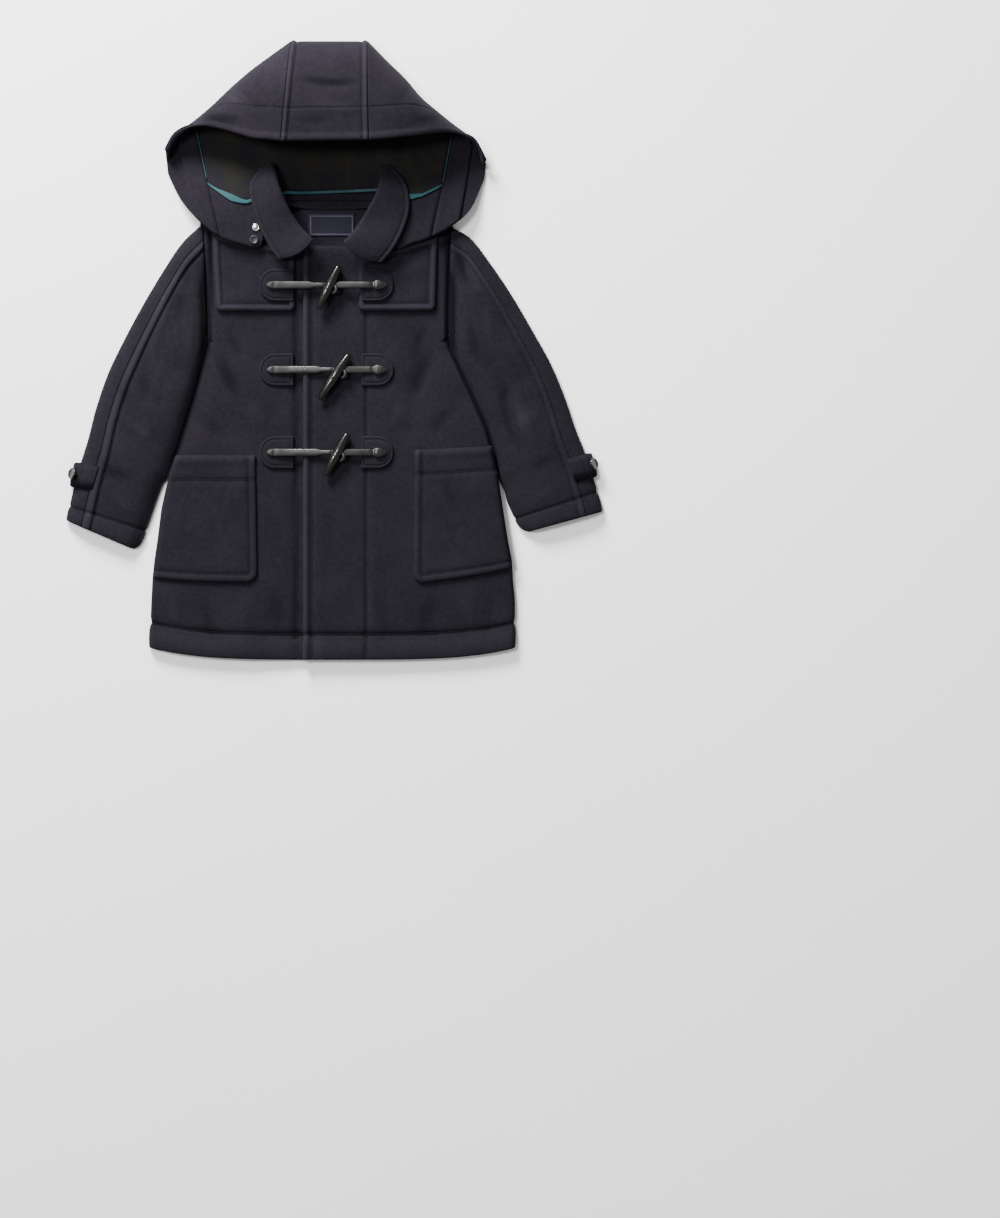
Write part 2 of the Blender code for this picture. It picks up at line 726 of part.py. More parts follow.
def collar_section(row):
    """A collar half at one place: up the stand, round the roll and down the fall."""
    fold_x, fold_y, edge_x, edge_y, rise, bow = row
    fold, edge = np.array((fold_x, fold_y)), np.array((edge_x, edge_y))
    width = float(np.linalg.norm(edge - fold))
    outward = (edge - fold) / width
    forward = np.array((-outward[1], outward[0]))
    forward *= -1 if forward[1] > 0 else 1
    crest = collar_bed(*fold) + COLLAR_ROLL + rise
    stand_depth = max(0.42 * width, COLLAR_ROLL + 2.5)

    def point(depth, height):
        share = np.clip(depth / width, 0, 1)
        x, y = fold + outward * depth + forward * bow * 4 * share * (1 - share)
        return (x, y, height)

    foot = fold + outward * stand_depth
    points = []
    for share in (0.0, 0.5):
        low, high = collar_bed(*foot) + 0.2, crest - COLLAR_ROLL
        points.append(point(stand_depth + (COLLAR_ROLL - stand_depth) * share, low + (high - low) * share))
    for angle in np.linspace(-math.pi / 2, math.pi / 2, 6):
        points.append(point(COLLAR_ROLL * (1 - math.cos(angle)), crest + COLLAR_ROLL * math.sin(angle)))
    low = collar_bed(*edge) + COLLAR_WALL + 0.2
    high = crest + COLLAR_ROLL
    for share in np.linspace(0, 1, 6)[1:]:
        depth = COLLAR_ROLL + (width - COLLAR_ROLL) * share
        points.append(point(depth, high + (low - high) * share ** 1.5))
    return points


def collar():
    for hand in COLLAR:
        grid = np.array([collar_section(row) for row in spline(COLLAR[hand], 11)])
        shell_between(f"collar_{hand}", grid, moved_out(grid, -COLLAR_WALL), wool())


def neck():
    """The collar's stand across the back neck, and the facing and label below it."""
    stand = []
    for x in np.linspace(-STAND_HALF, STAND_HALF, 15):
        low = back_edge_y(x) + 0.8
        high = STAND_TOP_Y - 3.0 * (abs(x) / STAND_HALF) ** 4
        stand.append([(x, low + (high - low) * share, hood_bed(x, low) + WALL) for share in (0, 0.5, 1)])
    cloth("collar_stand", np.array(stand), WALL, wool())

    facing = []
    for x in np.linspace(-FACING_HALF, FACING_HALF, 9):
        top = back_edge_y(x) - 1.0
        facing.append([(x, y, WALL + SEAM + THIN) for y in np.linspace(top, FACING_LOW_Y, 4)])
    cloth("neck_facing", np.array(facing), THIN, wool())

    label_z = WALL + 2 * SEAM + THIN + LABEL_THICKNESS
    tag = [[(x, y, label_z) for y in np.linspace(*LABEL_Y, 3)] for x in np.linspace(*LABEL_X, 4)]
    cloth("neck_label", np.array(tag), LABEL_THICKNESS, label())


# ---------------------------------------------------------------- what lies on the fronts

def front_height(hand, x, y):
    return near_top(x, y) if hand == "near" else far_top(x, y)


def flap_reach(hand, y):
    """Outer and inner edge of a shoulder flap at a level."""
    (low_y, low_outer, low_inner), (high_y, high_outer, high_inner) = FLAP[hand]
    share = (y - low_y) / (high_y - low_y)
    return low_outer + (high_outer - low_outer) * share, low_inner + (high_inner - low_inner) * share


def flap_top_y(hand, share):
    outer, inner = FLAP_TOP[hand]
    return outer + (inner - outer) * share


def shoulder_flaps():
    """Each flap lies on its front, from under the hood to across the chest, with round corners."""
    for hand in FLAP:
        low_y = FLAP[hand][0][0]
        grid = []
        for j, share in enumerate(np.linspace(0, 1, 10)):
            corner = FLAP_CORNER * (1 - math.sqrt(max(0.0, 1 - ((abs(share - 0.5) - 0.42) / 0.08) ** 2))) \
                if abs(share - 0.5) > 0.42 else 0.0
            line = []
            for y in np.linspace(low_y + corner, flap_top_y(hand, share), 9):
                outer, inner = flap_reach(hand, y)
                x = outer + (inner - outer) * share
                line.append((x, y, front_height(hand, x, y) + LAYER_GAP + FLAP_WALL))
            grid.append(line)
        cloth(f"shoulder_flap_{hand}", np.array(grid), FLAP_WALL, wool())


def pockets():
    """Patch pockets, made from their front's own points, from the side's edge inwards."""
    for hand in POCKET:
        (top_y, top_side, top_inner), (low_y, low_side, low_inner) = POCKET[hand]
        grid = []
        for share in np.linspace(0, 1, 11):
            corner = POCKET_CORNER * max(0.0, (share - 0.9) / 0.1) ** 2
            line = []
            for drop in np.linspace(0, 1, 8):
                high = top_y + (top_side - top_y) * (1 - share)
                low = low_y + (low_side - low_y) * (1 - share) + corner
                y = high + (low - high) * drop
                reach = abs(top_inner + (low_inner - top_inner) * drop - side_x(hand, y))
                way = POCKET_START + (reach + 2.7 - POCKET_START) * share
                line.append(front_point(hand, way, y))
            grid.append(line)
        outer = moved_out(np.array(grid), LAYER_GAP + POCKET_WALL)
        inner = moved_out(np.array(grid), LAYER_GAP)
        shell_between(f"pocket_{hand}", outer, inner, wool())


# ---------------------------------------------------------------- fastenings

def patch_ground(hand, on_flap, x, y):
    lift = LAYER_GAP + FLAP_WALL if on_flap else 0.0
    return front_height(hand, x, y) + lift


def toggle_patch(name, hand, reach, level, on_flap):
    """A D of cloth: straight beside the front's edge and round away from it."""
    round_x, straight_x = reach
    inward = 1 if straight_x > round_x else -1
    bulge = abs(straight_x - round_x) * 0.55
    grid = []
    for across in np.sin(np.linspace(-math.pi / 2, math.pi / 2, 8)):
        y = level + PATCH_HALF_HEIGHT * across
        start = round_x + inward * bulge * (1 - math.sqrt(max(0.0, 1 - across ** 2)))
        grid.append([(x, y, patch_ground(hand, on_flap, x, y) + LAYER_GAP + PATCH)
                     for x in np.linspace(start, straight_x, 5)])
    cloth(name, np.array(grid), PATCH, wool())


def strap(name, level, stops, widths):
    """A leather strap along X: stops are pairs of place and underside height."""
    places = [stop[0] for stop in stops]
    grid = []
    for x, width in widths:
        low = float(np.interp(x, places, [stop[1] for stop in stops]))
        grid.append([(x, level + width * half, low + LEATHER) for half in (-0.5, 0, 0.5)])
    cloth(name, np.array(grid), LEATHER, leather())


def toggle(name, top, end, height):
    """A horn toggle: a turned peg, widest in the middle, lying aslant."""
    length = math.dist(top, end)
    mesh = bpy.data.meshes.new(name)
    shaped = bmesh.new()
    bmesh.ops.create_uvsphere(shaped, u_segments=10, v_segments=9, radius=1.0)
    for vert in shaped.verts:
        along = vert.co.z
        girth = math.hypot(vert.co.x, vert.co.y)
        full = TOGGLE_RADIUS * (1 - 0.55 * abs(along) ** 1.6)
        turn = full * min(1.0, girth / 0.55) / max(girth, 1e-6) if girth > 1e-6 else 0.0
        vert.co = Vector((vert.co.x * turn, vert.co.y * turn, along * length / 2)) * MM
    shaped.to_mesh(mesh)
    shaped.free()
    mesh.shade_smooth()
    made = add_object(name, mesh, horn())
    direction = Vector((top[0] - end[0], top[1] - end[1], 0))
    made.rotation_euler = direction.to_track_quat("Z", "Y").to_euler()
    made.location = placed(((top[0] + end[0]) / 2, (top[1] + end[1]) / 2, height))


def disc(name, place, axis, radius, thickness, finish, round_edge):
    """A round button or stud with a rounded edge."""
    bpy.ops.mesh.primitive_cylinder_add(vertices=12, radius=radius * MM, depth=thickness * MM)
    made = bpy.context.object
    made.name = made.data.name = name
    for owner in list(made.users_collection):
        owner.objects.unlink(made)
    bpy.data.collections["duffle_coat"].objects.link(made)
    made.data.materials.append(finish)
    bevel = made.modifiers.new("Round edge", "BEVEL")
    bevel.width = round_edge * MM
    bevel.segments = 2
    bevel.limit_method = "ANGLE"
    made.rotation_euler = Vector(axis).to_track_quat("Z", "Y").to_euler()
    made.location = placed(place)


def fastenings():
    for number, (level, top, end, on_flap) in enumerate(FASTENINGS, start=1):
        toggle_patch(f"patch_near_{number}", "near", NEAR_PATCH_X, level, on_flap)
        toggle_patch(f"patch_far_{number}", "far", FAR_PATCH_X, level, on_flap)
        share = (level - end[1]) / (top[1] - end[1])
        middle_x = end[0] + (top[0] - end[0]) * share
        height = far_top(middle_x, level) + TOGGLE_RADIUS + TOGGLE_LIFT
        toggle(f"toggle_{number}", top, end, height + (TOGGLE_FLAP_LIFT if on_flap else 0))
        slant = abs(top[0] - end[0]) / abs(top[1] - end[1])
        clear = TOGGLE_RADIUS * math.hypot(1, slant) + STRAP_WIDTH / 2 * slant + SEAM

        near_base = patch_ground("near", on_flap, NEAR_TIP_X + 1, level) + PATCH + 2 * LAYER_GAP
        near_end = middle_x - clear
        strap(f"strap_near_{number}", level,
              ((NEAR_TIP_X, near_base), (NEAR_LIFT_X, near_base), (near_end, height - LEATHER / 2)),
              [(x, STRAP_WIDTH) for x in np.linspace(NEAR_TIP_X, near_end, 8)])

        far_base = patch_ground("far", on_flap, FAR_SEWN_X, level) + PATCH + 2 * LAYER_GAP
        far_start = middle_x + clear
        tip_base = patch_ground("far", on_flap, FAR_TIP_X, level) + PATCH + 2 * LAYER_GAP
        first, *others = [(FAR_TIP_X - distance, width) for distance, width in STRAP_END]
        widths = [(x, STRAP_WIDTH) for x in np.linspace(far_start, first[0], 5)] + others
        strap(f"strap_far_{number}", level,
              ((far_start, height - LEATHER / 2), (FAR_LIFT_X, far_base), (FAR_SEWN_X, far_base),
               (FAR_TIP_X, tip_base)), widths)


def cuff_tabs():
    """A tab from each sleeve's front seam out over its edge, with a button near the end."""
    ways = np.concatenate((np.linspace(TAB_START, TAB_TURN, 4), np.linspace(TAB_OVER, TAB_END, 4)))
    rise = TAB_RISE * np.clip((TAB_TURN - ways) / (TAB_TURN - TAB_END), 0, 1)
    for hand in SLEEVE:
        fan = spline(SLEEVE[hand], 41)
        first, last = TAB_STATION[hand]
        grid = []
        for side in np.linspace(-1, 1, 5):
            line = []
            for way, short in zip(ways, TAB_CORNER):
                station = first + (last - first) * (TAB_START - way) / (TAB_START - TAB_END)
                row = row_at(fan, station + side * (TAB_HALF - short))
                outer, inner = row[:2], row[2:]
                width = float(np.linalg.norm(inner - outer))
                depth, height = tube_point(width, EDGE_RADIUS, way)
                line.append((*(outer + (inner - outer) * depth / width), height))
            grid.append(line)
        base = np.array(grid)
        normals = grid_normals(base)
        inside = base + normals * (TAB_CLEAR + rise)[None, :, None]
        face = inside + normals * TAB_WALL
        shell_between(f"cuff_tab_{hand}", face, inside, wool())

        before, after = fan[int(last) - 1][:2], fan[int(last) + 2][:2]
        run = (after - before) / np.linalg.norm(after - before)
        away = np.array((run[1], -run[0]))
        away *= np.sign(away[0]) * (1 if hand == "far" else -1)
        edge = row_at(fan, last)[:2]
        lean, rise_z = math.cos(BUTTON_TILT), math.sin(BUTTON_TILT)
        reach = EDGE_RADIUS + TAB_CLEAR + TAB_RISE * 0.75 + TAB_WALL + BUTTON_CLEAR + BUTTON_THICK / 2
        middle = edge - away * EDGE_RADIUS + away * reach * lean
        disc(f"cuff_button_{hand}", (*middle, EDGE_RADIUS + reach * rise_z),
             (away[0] * lean, away[1] * lean, rise_z), BUTTON_RADIUS, BUTTON_THICK, horn(), 0.8)


def hood_fittings():
    top = WALL + LAYER_GAP + THIN + SEAM
    for name, (x, y), radius, thickness, finish in (
            ("hood_stud", (-84.5, 137.0), 4.2, 1.8, metal()),
            ("hood_button", (-86.5, 123.5), 5.0, 2.4, button())):
        disc(name, (x, y, hood_bed(x, y) + top + thickness / 2), (0, 0, 1), radius, thickness, finish, 0.5)


# ---------------------------------------------------------------- build

def clear_scene():
    for old in list(bpy.data.objects):
        bpy.data.objects.remove(old, do_unlink=True)
    for old in list(bpy.data.collections):
        bpy.data.collections.remove(old)
    made = bpy.data.collections.new("duffle_coat")
    bpy.context.scene.collection.children.link(made)


clear_scene()
back_panel()
front_panel("near", "front_near", UNDER_EDGE_X)
front_panel("far", "front_far", OVER_EDGE_X)
sleeve("near")
sleeve("far")
hood()
hood_inside()
collar()
neck()
shoulder_flaps()
pockets()
fastenings()
cuff_tabs()
hood_fittings()
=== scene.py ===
"""A child's duffle coat of dark wool melton, laid flat and face up with its hood thrown up."""

import math

import bpy
import numpy as np
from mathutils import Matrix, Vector


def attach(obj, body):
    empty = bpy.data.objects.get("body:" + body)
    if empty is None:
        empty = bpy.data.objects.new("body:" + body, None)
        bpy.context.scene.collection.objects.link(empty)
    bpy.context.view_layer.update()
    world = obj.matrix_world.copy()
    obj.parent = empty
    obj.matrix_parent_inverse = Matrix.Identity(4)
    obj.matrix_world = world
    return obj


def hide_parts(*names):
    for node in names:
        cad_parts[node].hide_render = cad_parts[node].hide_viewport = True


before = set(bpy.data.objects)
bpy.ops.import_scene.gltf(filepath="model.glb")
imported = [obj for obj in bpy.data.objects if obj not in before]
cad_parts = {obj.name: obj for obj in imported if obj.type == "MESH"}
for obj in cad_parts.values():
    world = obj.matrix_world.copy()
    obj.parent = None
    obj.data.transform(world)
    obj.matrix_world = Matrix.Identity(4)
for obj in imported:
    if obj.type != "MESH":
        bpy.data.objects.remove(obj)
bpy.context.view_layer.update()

# ---------------------------------------------------------------------- back
# The back is one panel of wool melton. It lies on the surface under the whole coat, and its
# side seams sit on the underside, where the fronts come round to it. The hem is turned up and
# stitched.

MM = 0.001
HOME = np.array((-1.399, -2.25, 0.0))     # brings the middle of the laid coat over the origin
WALL = 3.0                                # melton with its lining
SEAM = 0.3                                # space left between two sewn pieces
LAID = 9.6                                # a front and a back that lie on each other
EDGE_RADIUS = LAID / 2
SIDE_LEVEL = 2.8                          # height at which a laid side is widest

# level, edge at the wearer's right, edge at the wearer's left, how far in the back seam lies
BODY = np.array((
    (-325, -202.4, 200.2, 27),
    (-272, -200.2, 200.2, 27),
    (-250, -199.1, 198.0, 27),
    (-228, -196.9, 196.9, 27),
    (-206, -193.6, 192.5, 27),
    (-171, -189.2, 187.0, 27),
    (-134, -180.4, 181.5, 27),
    (-110, -171.5, 176.0, 27),
    (-85, -163.9, 169.4, 26),
    (-52, -154.0, 155.1, 24),
    (-19, -145.2, 139.7, 18),
    (12, -136.4, 125.0, 6),
))
HEM_Y, UNDERARM_Y = -325.0, 12.0
HEM_SAG, SAG_TOP_Y = 13.0, -134.0
NECK_POINT = {"near": (-76.0, 170.0), "far": (76.0, 170.0)}
SHOULDER_TIP = {"near": (-141.5, 144.0), "far": (127.5, 140.0)}
BACK_NECK_Y, BACK_NECK_RISE = 158.0, 12.0
HEM_HALF = 201.0                          # half of the hem's width, over which it is curved
HEM_STITCH = 28.0
BACK_COLUMNS, BACK_LEVEL = 61, 9.0        # points across, and the height of a row of cells


def smoothstep(low, high, value):
    t = np.clip((value - low) / (high - low), 0.0, 1.0)
    return t * t * (3.0 - 2.0 * t)


def bell(value, width):
    return np.exp(-(value / width) ** 2)


def side_x(hand, y):
    return np.interp(y, BODY[:, 0], BODY[:, 1 if hand == "near" else 2])


def seam_in(y):
    return np.interp(y, BODY[:, 0], BODY[:, 3])


def armhole_x(hand, y):
    tip_x, tip_y = SHOULDER_TIP[hand]
    low = side_x(hand, UNDERARM_Y)
    return low + (tip_x - low) * np.clip((y - UNDERARM_Y) / (tip_y - UNDERARM_Y), 0, 1)


def armhole_at(hand, share):
    """The armhole's edge at a share of the way up from the underarm to the shoulder."""
    return armhole_x(hand, UNDERARM_Y + share * (SHOULDER_TIP[hand][1] - UNDERARM_Y))


def shoulder_y(hand, x):
    (neck_x, neck_y), (tip_x, tip_y) = NECK_POINT[hand], SHOULDER_TIP[hand]
    return neck_y + (tip_y - neck_y) * (x - neck_x) / (tip_x - neck_x)


def shoulder_seam_y(x):
    return np.where(x < 0, shoulder_y("near", x), shoulder_y("far", x))


def back_neck_y(x):
    return BACK_NECK_Y + BACK_NECK_RISE * (np.abs(x) / NECK_POINT["far"][0]) ** 3


def hem_drop(x, y):
    """How far the hem's curve pulls a level down towards the middle."""
    bow = 1.0 - np.minimum(1.0, np.abs(x) / HEM_HALF) ** 4
    return -HEM_SAG * bow * smoothstep(SAG_TOP_Y, HEM_Y, y)


def spread(start, end, coarse, marks=(), fine=0.7, reach=3.0):
    """Places from start to end, coarse apart, and fine apart within reach of each mark."""
    places = [start, end]
    places += list(np.linspace(start, end, max(2, int(abs(end - start) / coarse) + 1)))
    for mark in marks:
        places += list(np.arange(mark - reach, mark + reach + 0.01, fine)) + [mark]
    low, high = min(start, end), max(start, end)
    places = sorted(place for place in places if low <= place <= high)
    kept = [places[0]]
    for place in places[1:]:
        if place - kept[-1] > 0.3:
            kept.append(place)
        elif place in marks or place == high:
            kept[-1] = place
    return np.array(kept if start < end else kept[::-1])


def crossing(grid):
    """Unit normals at a grid's points, averaged from the cells beside each."""
    across = grid[1:, 1:] - grid[:-1, :-1]
    back = grid[1:, :-1] - grid[:-1, 1:]
    cells = np.nan_to_num(np.cross(across, back))
    normals = np.zeros_like(grid)
    for i in (0, 1):
        for j in (0, 1):
            rows = slice(i, i + cells.shape[0])
            columns = slice(j, j + cells.shape[1])
            normals[rows, columns] += cells
    length = np.linalg.norm(normals, axis=2, keepdims=True)
    return normals / np.maximum(length, 1e-12)


def rolled(distance, radius=1.5):
    """The round edge of a thick cloth, by the distance from its edge."""
    inside = np.clip(radius - distance, 0.0, radius)
    return -(radius - np.sqrt(np.maximum(radius ** 2 - inside ** 2, 0.0)))


def groove(distance, at, depth=1.0, width=2.2):
    """Where a row of stitches pulls the cloth in."""
    return -depth * bell(distance - at, width)


def pressed(distance, gap, reach=6.0):
    """The edge of a layer that is sewn on lies closer to the cloth under it."""
    return -0.85 * gap * (1 - smoothstep(0.0, reach, distance))


def padded_edge(distance, at, height=1.0):
    """The turned edge between the fold and its row of stitches stands a little proud."""
    share = np.clip(distance / at, 0, 1)
    return height * np.sin(math.pi * share) ** 0.8


def creases(x, y, rows):
    """Soft troughs and ridges. A row has both ends, the depth and the width."""
    total = np.zeros_like(x)
    for x0, y0, x1, y1, depth, width in rows:
        run = np.array((x1 - x0, y1 - y0))
        length = np.linalg.norm(run)
        run = run / length
        along = ((x - x0) * run[0] + (y - y0) * run[1]) / length
        aside = -(x - x0) * run[1] + (y - y0) * run[0]
        aside = aside + 0.06 * length * np.sin(math.pi * np.clip(along, 0, 1))
        fade = np.sin(math.pi * np.clip(along, 0, 1)) ** 0.8
        total = total + depth * fade * bell(aside, width)
    return total


def made_piece(name, points, faces, finish):
    """A smooth-shaded piece from its points, which are in millimetres from the neck."""
    mesh = bpy.data.meshes.new(name)
    mesh.from_pydata(((points + HOME) * MM).tolist(), [], faces)
    mesh.shade_smooth()
    mesh.materials.append(finish)
    piece = bpy.data.objects.new(name, mesh)
    bpy.context.scene.collection.objects.link(piece)
    return piece


def declare(piece, slot, *nodes):
    """Hangs a piece on the root body and hides the solids it stands for. The slot, what it is made of, is
    not used.
    """
    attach(piece, "root")
    if nodes:
        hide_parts(*nodes)


def mesh_wall(name, outer, inner, finish, relief, closed=False, cap=False):
    """A closed wall between two grids. Points that are not numbers are left out. The relief is kept with the
    mesh, and the wool paints from it. What stands proud is lighter, partly worn nap and partly a painted
    highlight, and grooves and clefts are darker, a painted shade."""
    rows, columns = outer.shape[:2]
    live = ~np.isnan(outer[:, :, 0])
    index = -np.ones((rows, columns), dtype=int)
    index[live] = np.arange(live.sum())
    count = int(live.sum())
    right = np.roll(index, -1, axis=1) if closed else index[:, 1:]
    left = index if closed else index[:, :-1]
    quads = np.stack((left[:-1], right[:-1], right[1:], left[1:]), axis=-1).reshape(-1, 4)
    quads = quads[(quads >= 0).all(axis=1)]
    faces = [tuple(quad) for quad in quads.tolist()]
    if cap:
        faces.append(tuple(index[-1].tolist()))
    edges = {}
    for face in faces:
        for here, there in zip(face, face[1:] + face[:1]):
            edges[(here, there)] = True
    rim = [edge for edge in edges if (edge[1], edge[0]) not in edges]
    under = [tuple(corner + count for corner in reversed(face)) for face in faces]
    walls = [(there, here, here + count, there + count) for here, there in rim]
    points = np.concatenate((outer[live], inner[live]))
    points[:, 2] = np.maximum(points[:, 2], 0.05)     # what lies on the surface is flat there
    piece = made_piece(name, points, faces + under + walls, finish)
    kept = piece.data.attributes.new("relief", "FLOAT", "POINT")
    kept.data.foreach_set("value", np.concatenate((relief[live], np.zeros(count))))
    return piece


def raised(base, relief):
    """A base grid with its relief on it, and its normals, which point up where it is highest."""
    normals = crossing(base)
    level = np.where(np.isnan(base[:, :, 2]), -1e9, base[:, :, 2])
    if normals[np.unravel_index(np.argmax(level), level.shape)][2] < 0:
        normals = -normals
    return base + normals * relief[..., None], normals


def facing_out(base, normals, *grids):
    """The grids, turned round where the cells of their base would face inwards."""
    return [grid[:, ::-1] for grid in grids] if np.nansum(crossing(base) * normals) < 0 else grids


def cloth_wall(name, base, relief, thickness, finish, painted_cleft_shade=0.0):
    """A wall of cloth whose outer face is the base grid with the relief on it. The mesh keeps the relief,
    less a painted shade in the cleft between two pieces, and the wool paints from it: ridges lighter,
    grooves and clefts darker."""
    outer, normals = raised(base, relief)
    # the cleft's painted shade is taken off the relief that the wool's colour reads
    wear_and_painted_light = relief - painted_cleft_shade + 0.0 * base[:, :, 0]
    outer, inner, wear_and_painted_light = facing_out(base, normals, outer, base - normals * thickness, wear_and_painted_light)
    return mesh_wall(name, outer, inner, finish, wear_and_painted_light)


def quad_area(grid):
    """Area of a grid of cloth in square metres."""
    across = grid[1:, 1:] - grid[:-1, :-1]
    back = grid[1:, :-1] - grid[:-1, 1:]
    return float(np.nansum(np.linalg.norm(np.cross(across, back), axis=2)) / 2) * MM * MM


def runs(grid, axis):
    """Lengths of a grid's lines along an axis, in metres."""
    steps = np.linalg.norm(np.diff(grid, axis=axis), axis=2)
    return np.nansum(steps, axis=axis) * MM


def declare_cloth(piece, base, rests_on, nodes, slot):
    """Hangs a cloth piece on the root body and hides the solids it stands for. Its cut is worked out but not
    kept.
    """
    declare(piece, slot, *nodes)
    width, length = float(runs(base, 1).max()), float(runs(base, 0).max())
    if min(width, length) < 0.01:
        return                            # a ribbon or piping, too narrow for its cut to be worked out
    area = min(quad_area(base), width * length)


class Wire:
    """A socket in a shader. Expressions on wires add the Math nodes that they need."""

    def __init__(self, socket):
        self.socket = socket

    @staticmethod
    def node(tree, kind, settings=None, values=None, out=0):
        made = tree.nodes.new(kind)
        for name, value in (settings or {}).items():
            if name == "stops":
                ramp = made.color_ramp.elements
                while len(ramp) < len(value):
                    ramp.new(0.5)
                for element, (place, color) in zip(ramp, value):
                    element.position = place
                    element.color = (*color, 1.0)
            else:
                setattr(made, name, value)
        for name, value in (values or {}).items():
            socket = made.inputs[name]
            if isinstance(value, Wire):
                tree.links.new(value.socket, socket)
            else:
                socket.default_value = value
        return Wire(made.outputs[out])

    def out(self, name):
        return Wire(self.socket.node.outputs[name])

    def math(self, operation, *values):
        inputs = dict(enumerate((self,) + values))
        return Wire.node(self.socket.id_data, "ShaderNodeMath", {"operation": operation}, inputs)

    def __add__(self, other):
        return self.math("ADD", other)

    __radd__ = __add__

    def __sub__(self, other):
        return self.math("SUBTRACT", other)

    def __rsub__(self, other):
        return (self * -1.0) + other

    def __mul__(self, other):
        return self.math("MULTIPLY", other)

    __rmul__ = __mul__

    def __truediv__(self, other):
        return self.math("DIVIDE", other)


def finish_of(name, **constants):
    """A new material, its tree, and its shader with the values that are the same all over."""
    made = bpy.data.materials.new(name)
    made.use_nodes = True
    shader = made.node_tree.nodes["Principled BSDF"]
    for key, value in constants.items():
        shader.inputs[key.replace("_", " ")].default_value = value
    return made, made.node_tree, shader


def feed(shader, name, wire):
    shader.id_data.links.new(wire.socket, shader.inputs[name])


def feed_bump(shader, strength, depth, height):
    """Bends the shader's normals by a height that runs from 0 to 1 over a depth in metres."""
    values = {"Strength": strength, "Distance": depth, "Height": height}
    feed(shader, "Normal", Wire.node(shader.id_data, "ShaderNodeBump", None, values))


def in_object(tree):
    return Wire.node(tree, "ShaderNodeTexCoord", out="Object")


def stretched(tree, where, scales):
    values = {0: where, 1: scales}
    return Wire.node(tree, "ShaderNodeVectorMath", {"operation": "MULTIPLY"}, values)


def noise(tree, where, scale, detail=3.0, roughness=0.6):
    values = {"Vector": where, "Scale": scale, "Detail": detail, "Roughness": roughness}
    return Wire.node(tree, "ShaderNodeTexNoise", None, values)


def blend(tree, share, first, second):
    values = {0: share, 6: first, 7: second}
    return Wire.node(tree, "ShaderNodeMix", {"data_type": "RGBA"}, values, out=2)


def between(wire, low, high):
    """A wire's values from low to high, stretched to run from 0 to 1."""
    values = {"Value": wire, "From Min": low, "From Max": high}
    return Wire.node(wire.socket.id_data, "ShaderNodeMapRange", None, values)


WOOL_DARK = (0.0058, 0.0050, 0.0070, 1.0)
WOOL_MIDDLE = (0.0110, 0.0095, 0.0130, 1.0)
# painted shade: the colour that grooves and the clefts beside the arms are painted towards
WOOL_PAINTED_SHADE = (0.0010, 0.0008, 0.0014, 1.0)
WOOL_LIGHT = (0.0310, 0.0273, 0.0360, 1.0)


def melton():
    """Brushed and pressed wool: matted fibres, a soft nap and small lighter hairs."""
    made, tree, shader = finish_of(
        "wool_melton", Roughness=0.95, Sheen_Weight=0.02, Sheen_Roughness=0.5,
        Sheen_Tint=(0.72, 0.62, 0.82, 1.0), Specular_IOR_Level=0.02)
    where = in_object(tree)
    matted = noise(tree, where, 210.0, 4.0, 0.65)
    fibre = noise(tree, where, 1250.0, 3.0, 0.7)
    cloudy = noise(tree, where, 26.0, 2.0, 0.5)
    hairs = noise(tree, stretched(tree, where, (2600.0, 420.0, 900.0)), 1.0, 2.0, 0.6)
    tone = between(matted * 0.7 + fibre * 0.4 + cloudy * 0.45, 0.52, 1.02)
    color = blend(tree, tone, WOOL_DARK, WOOL_MIDDLE)
    bright = between(hairs * 0.6 + fibre * 0.4, 0.60, 0.78)
    color = blend(tree, bright * 0.55, color, WOOL_LIGHT)
    # The relief paints the wool. Where it stands proud it is lighter, partly worn nap and partly a painted
    # highlight. Grooves and the clefts beside the arms are darker, a painted shade.
    relief = Wire.node(tree, "ShaderNodeAttribute", {"attribute_name": "relief"}, out="Fac")
    color = blend(tree, between(relief, 0.35, 1.5) * 0.22, color, WOOL_LIGHT)
    color = blend(tree, between(relief * -1.0, 0.25, 1.6) * 0.80, color, WOOL_PAINTED_SHADE)
    feed(shader, "Base Color", color)
    feed_bump(shader, 0.6, 0.0008, matted * 0.5 + fibre * 0.35 + hairs * 0.25)
    return made


WOOL = melton()


def sewing_thread():
    """Polyester thread in the colour of the wool."""
    made, tree, shader = finish_of("thread_navy", Roughness=0.6, Specular_IOR_Level=0.15)
    where = in_object(tree)
    twist = noise(tree, where, 2400.0, 1.0, 0.5)
    color = blend(tree, twist, (0.002, 0.002, 0.003, 1.0), (0.006, 0.0055, 0.008, 1.0))
    feed(shader, "Base Color", color)
    return made


THREAD = sewing_thread()
THREAD_RADIUS = 0.30
STITCH = 3.0                  # from one needle hole to the next


def length_run(line):
    """For each point of a line, how far along it the point lies."""
    return np.concatenate(([0], np.cumsum(np.linalg.norm(np.diff(line, axis=0), axis=1))))


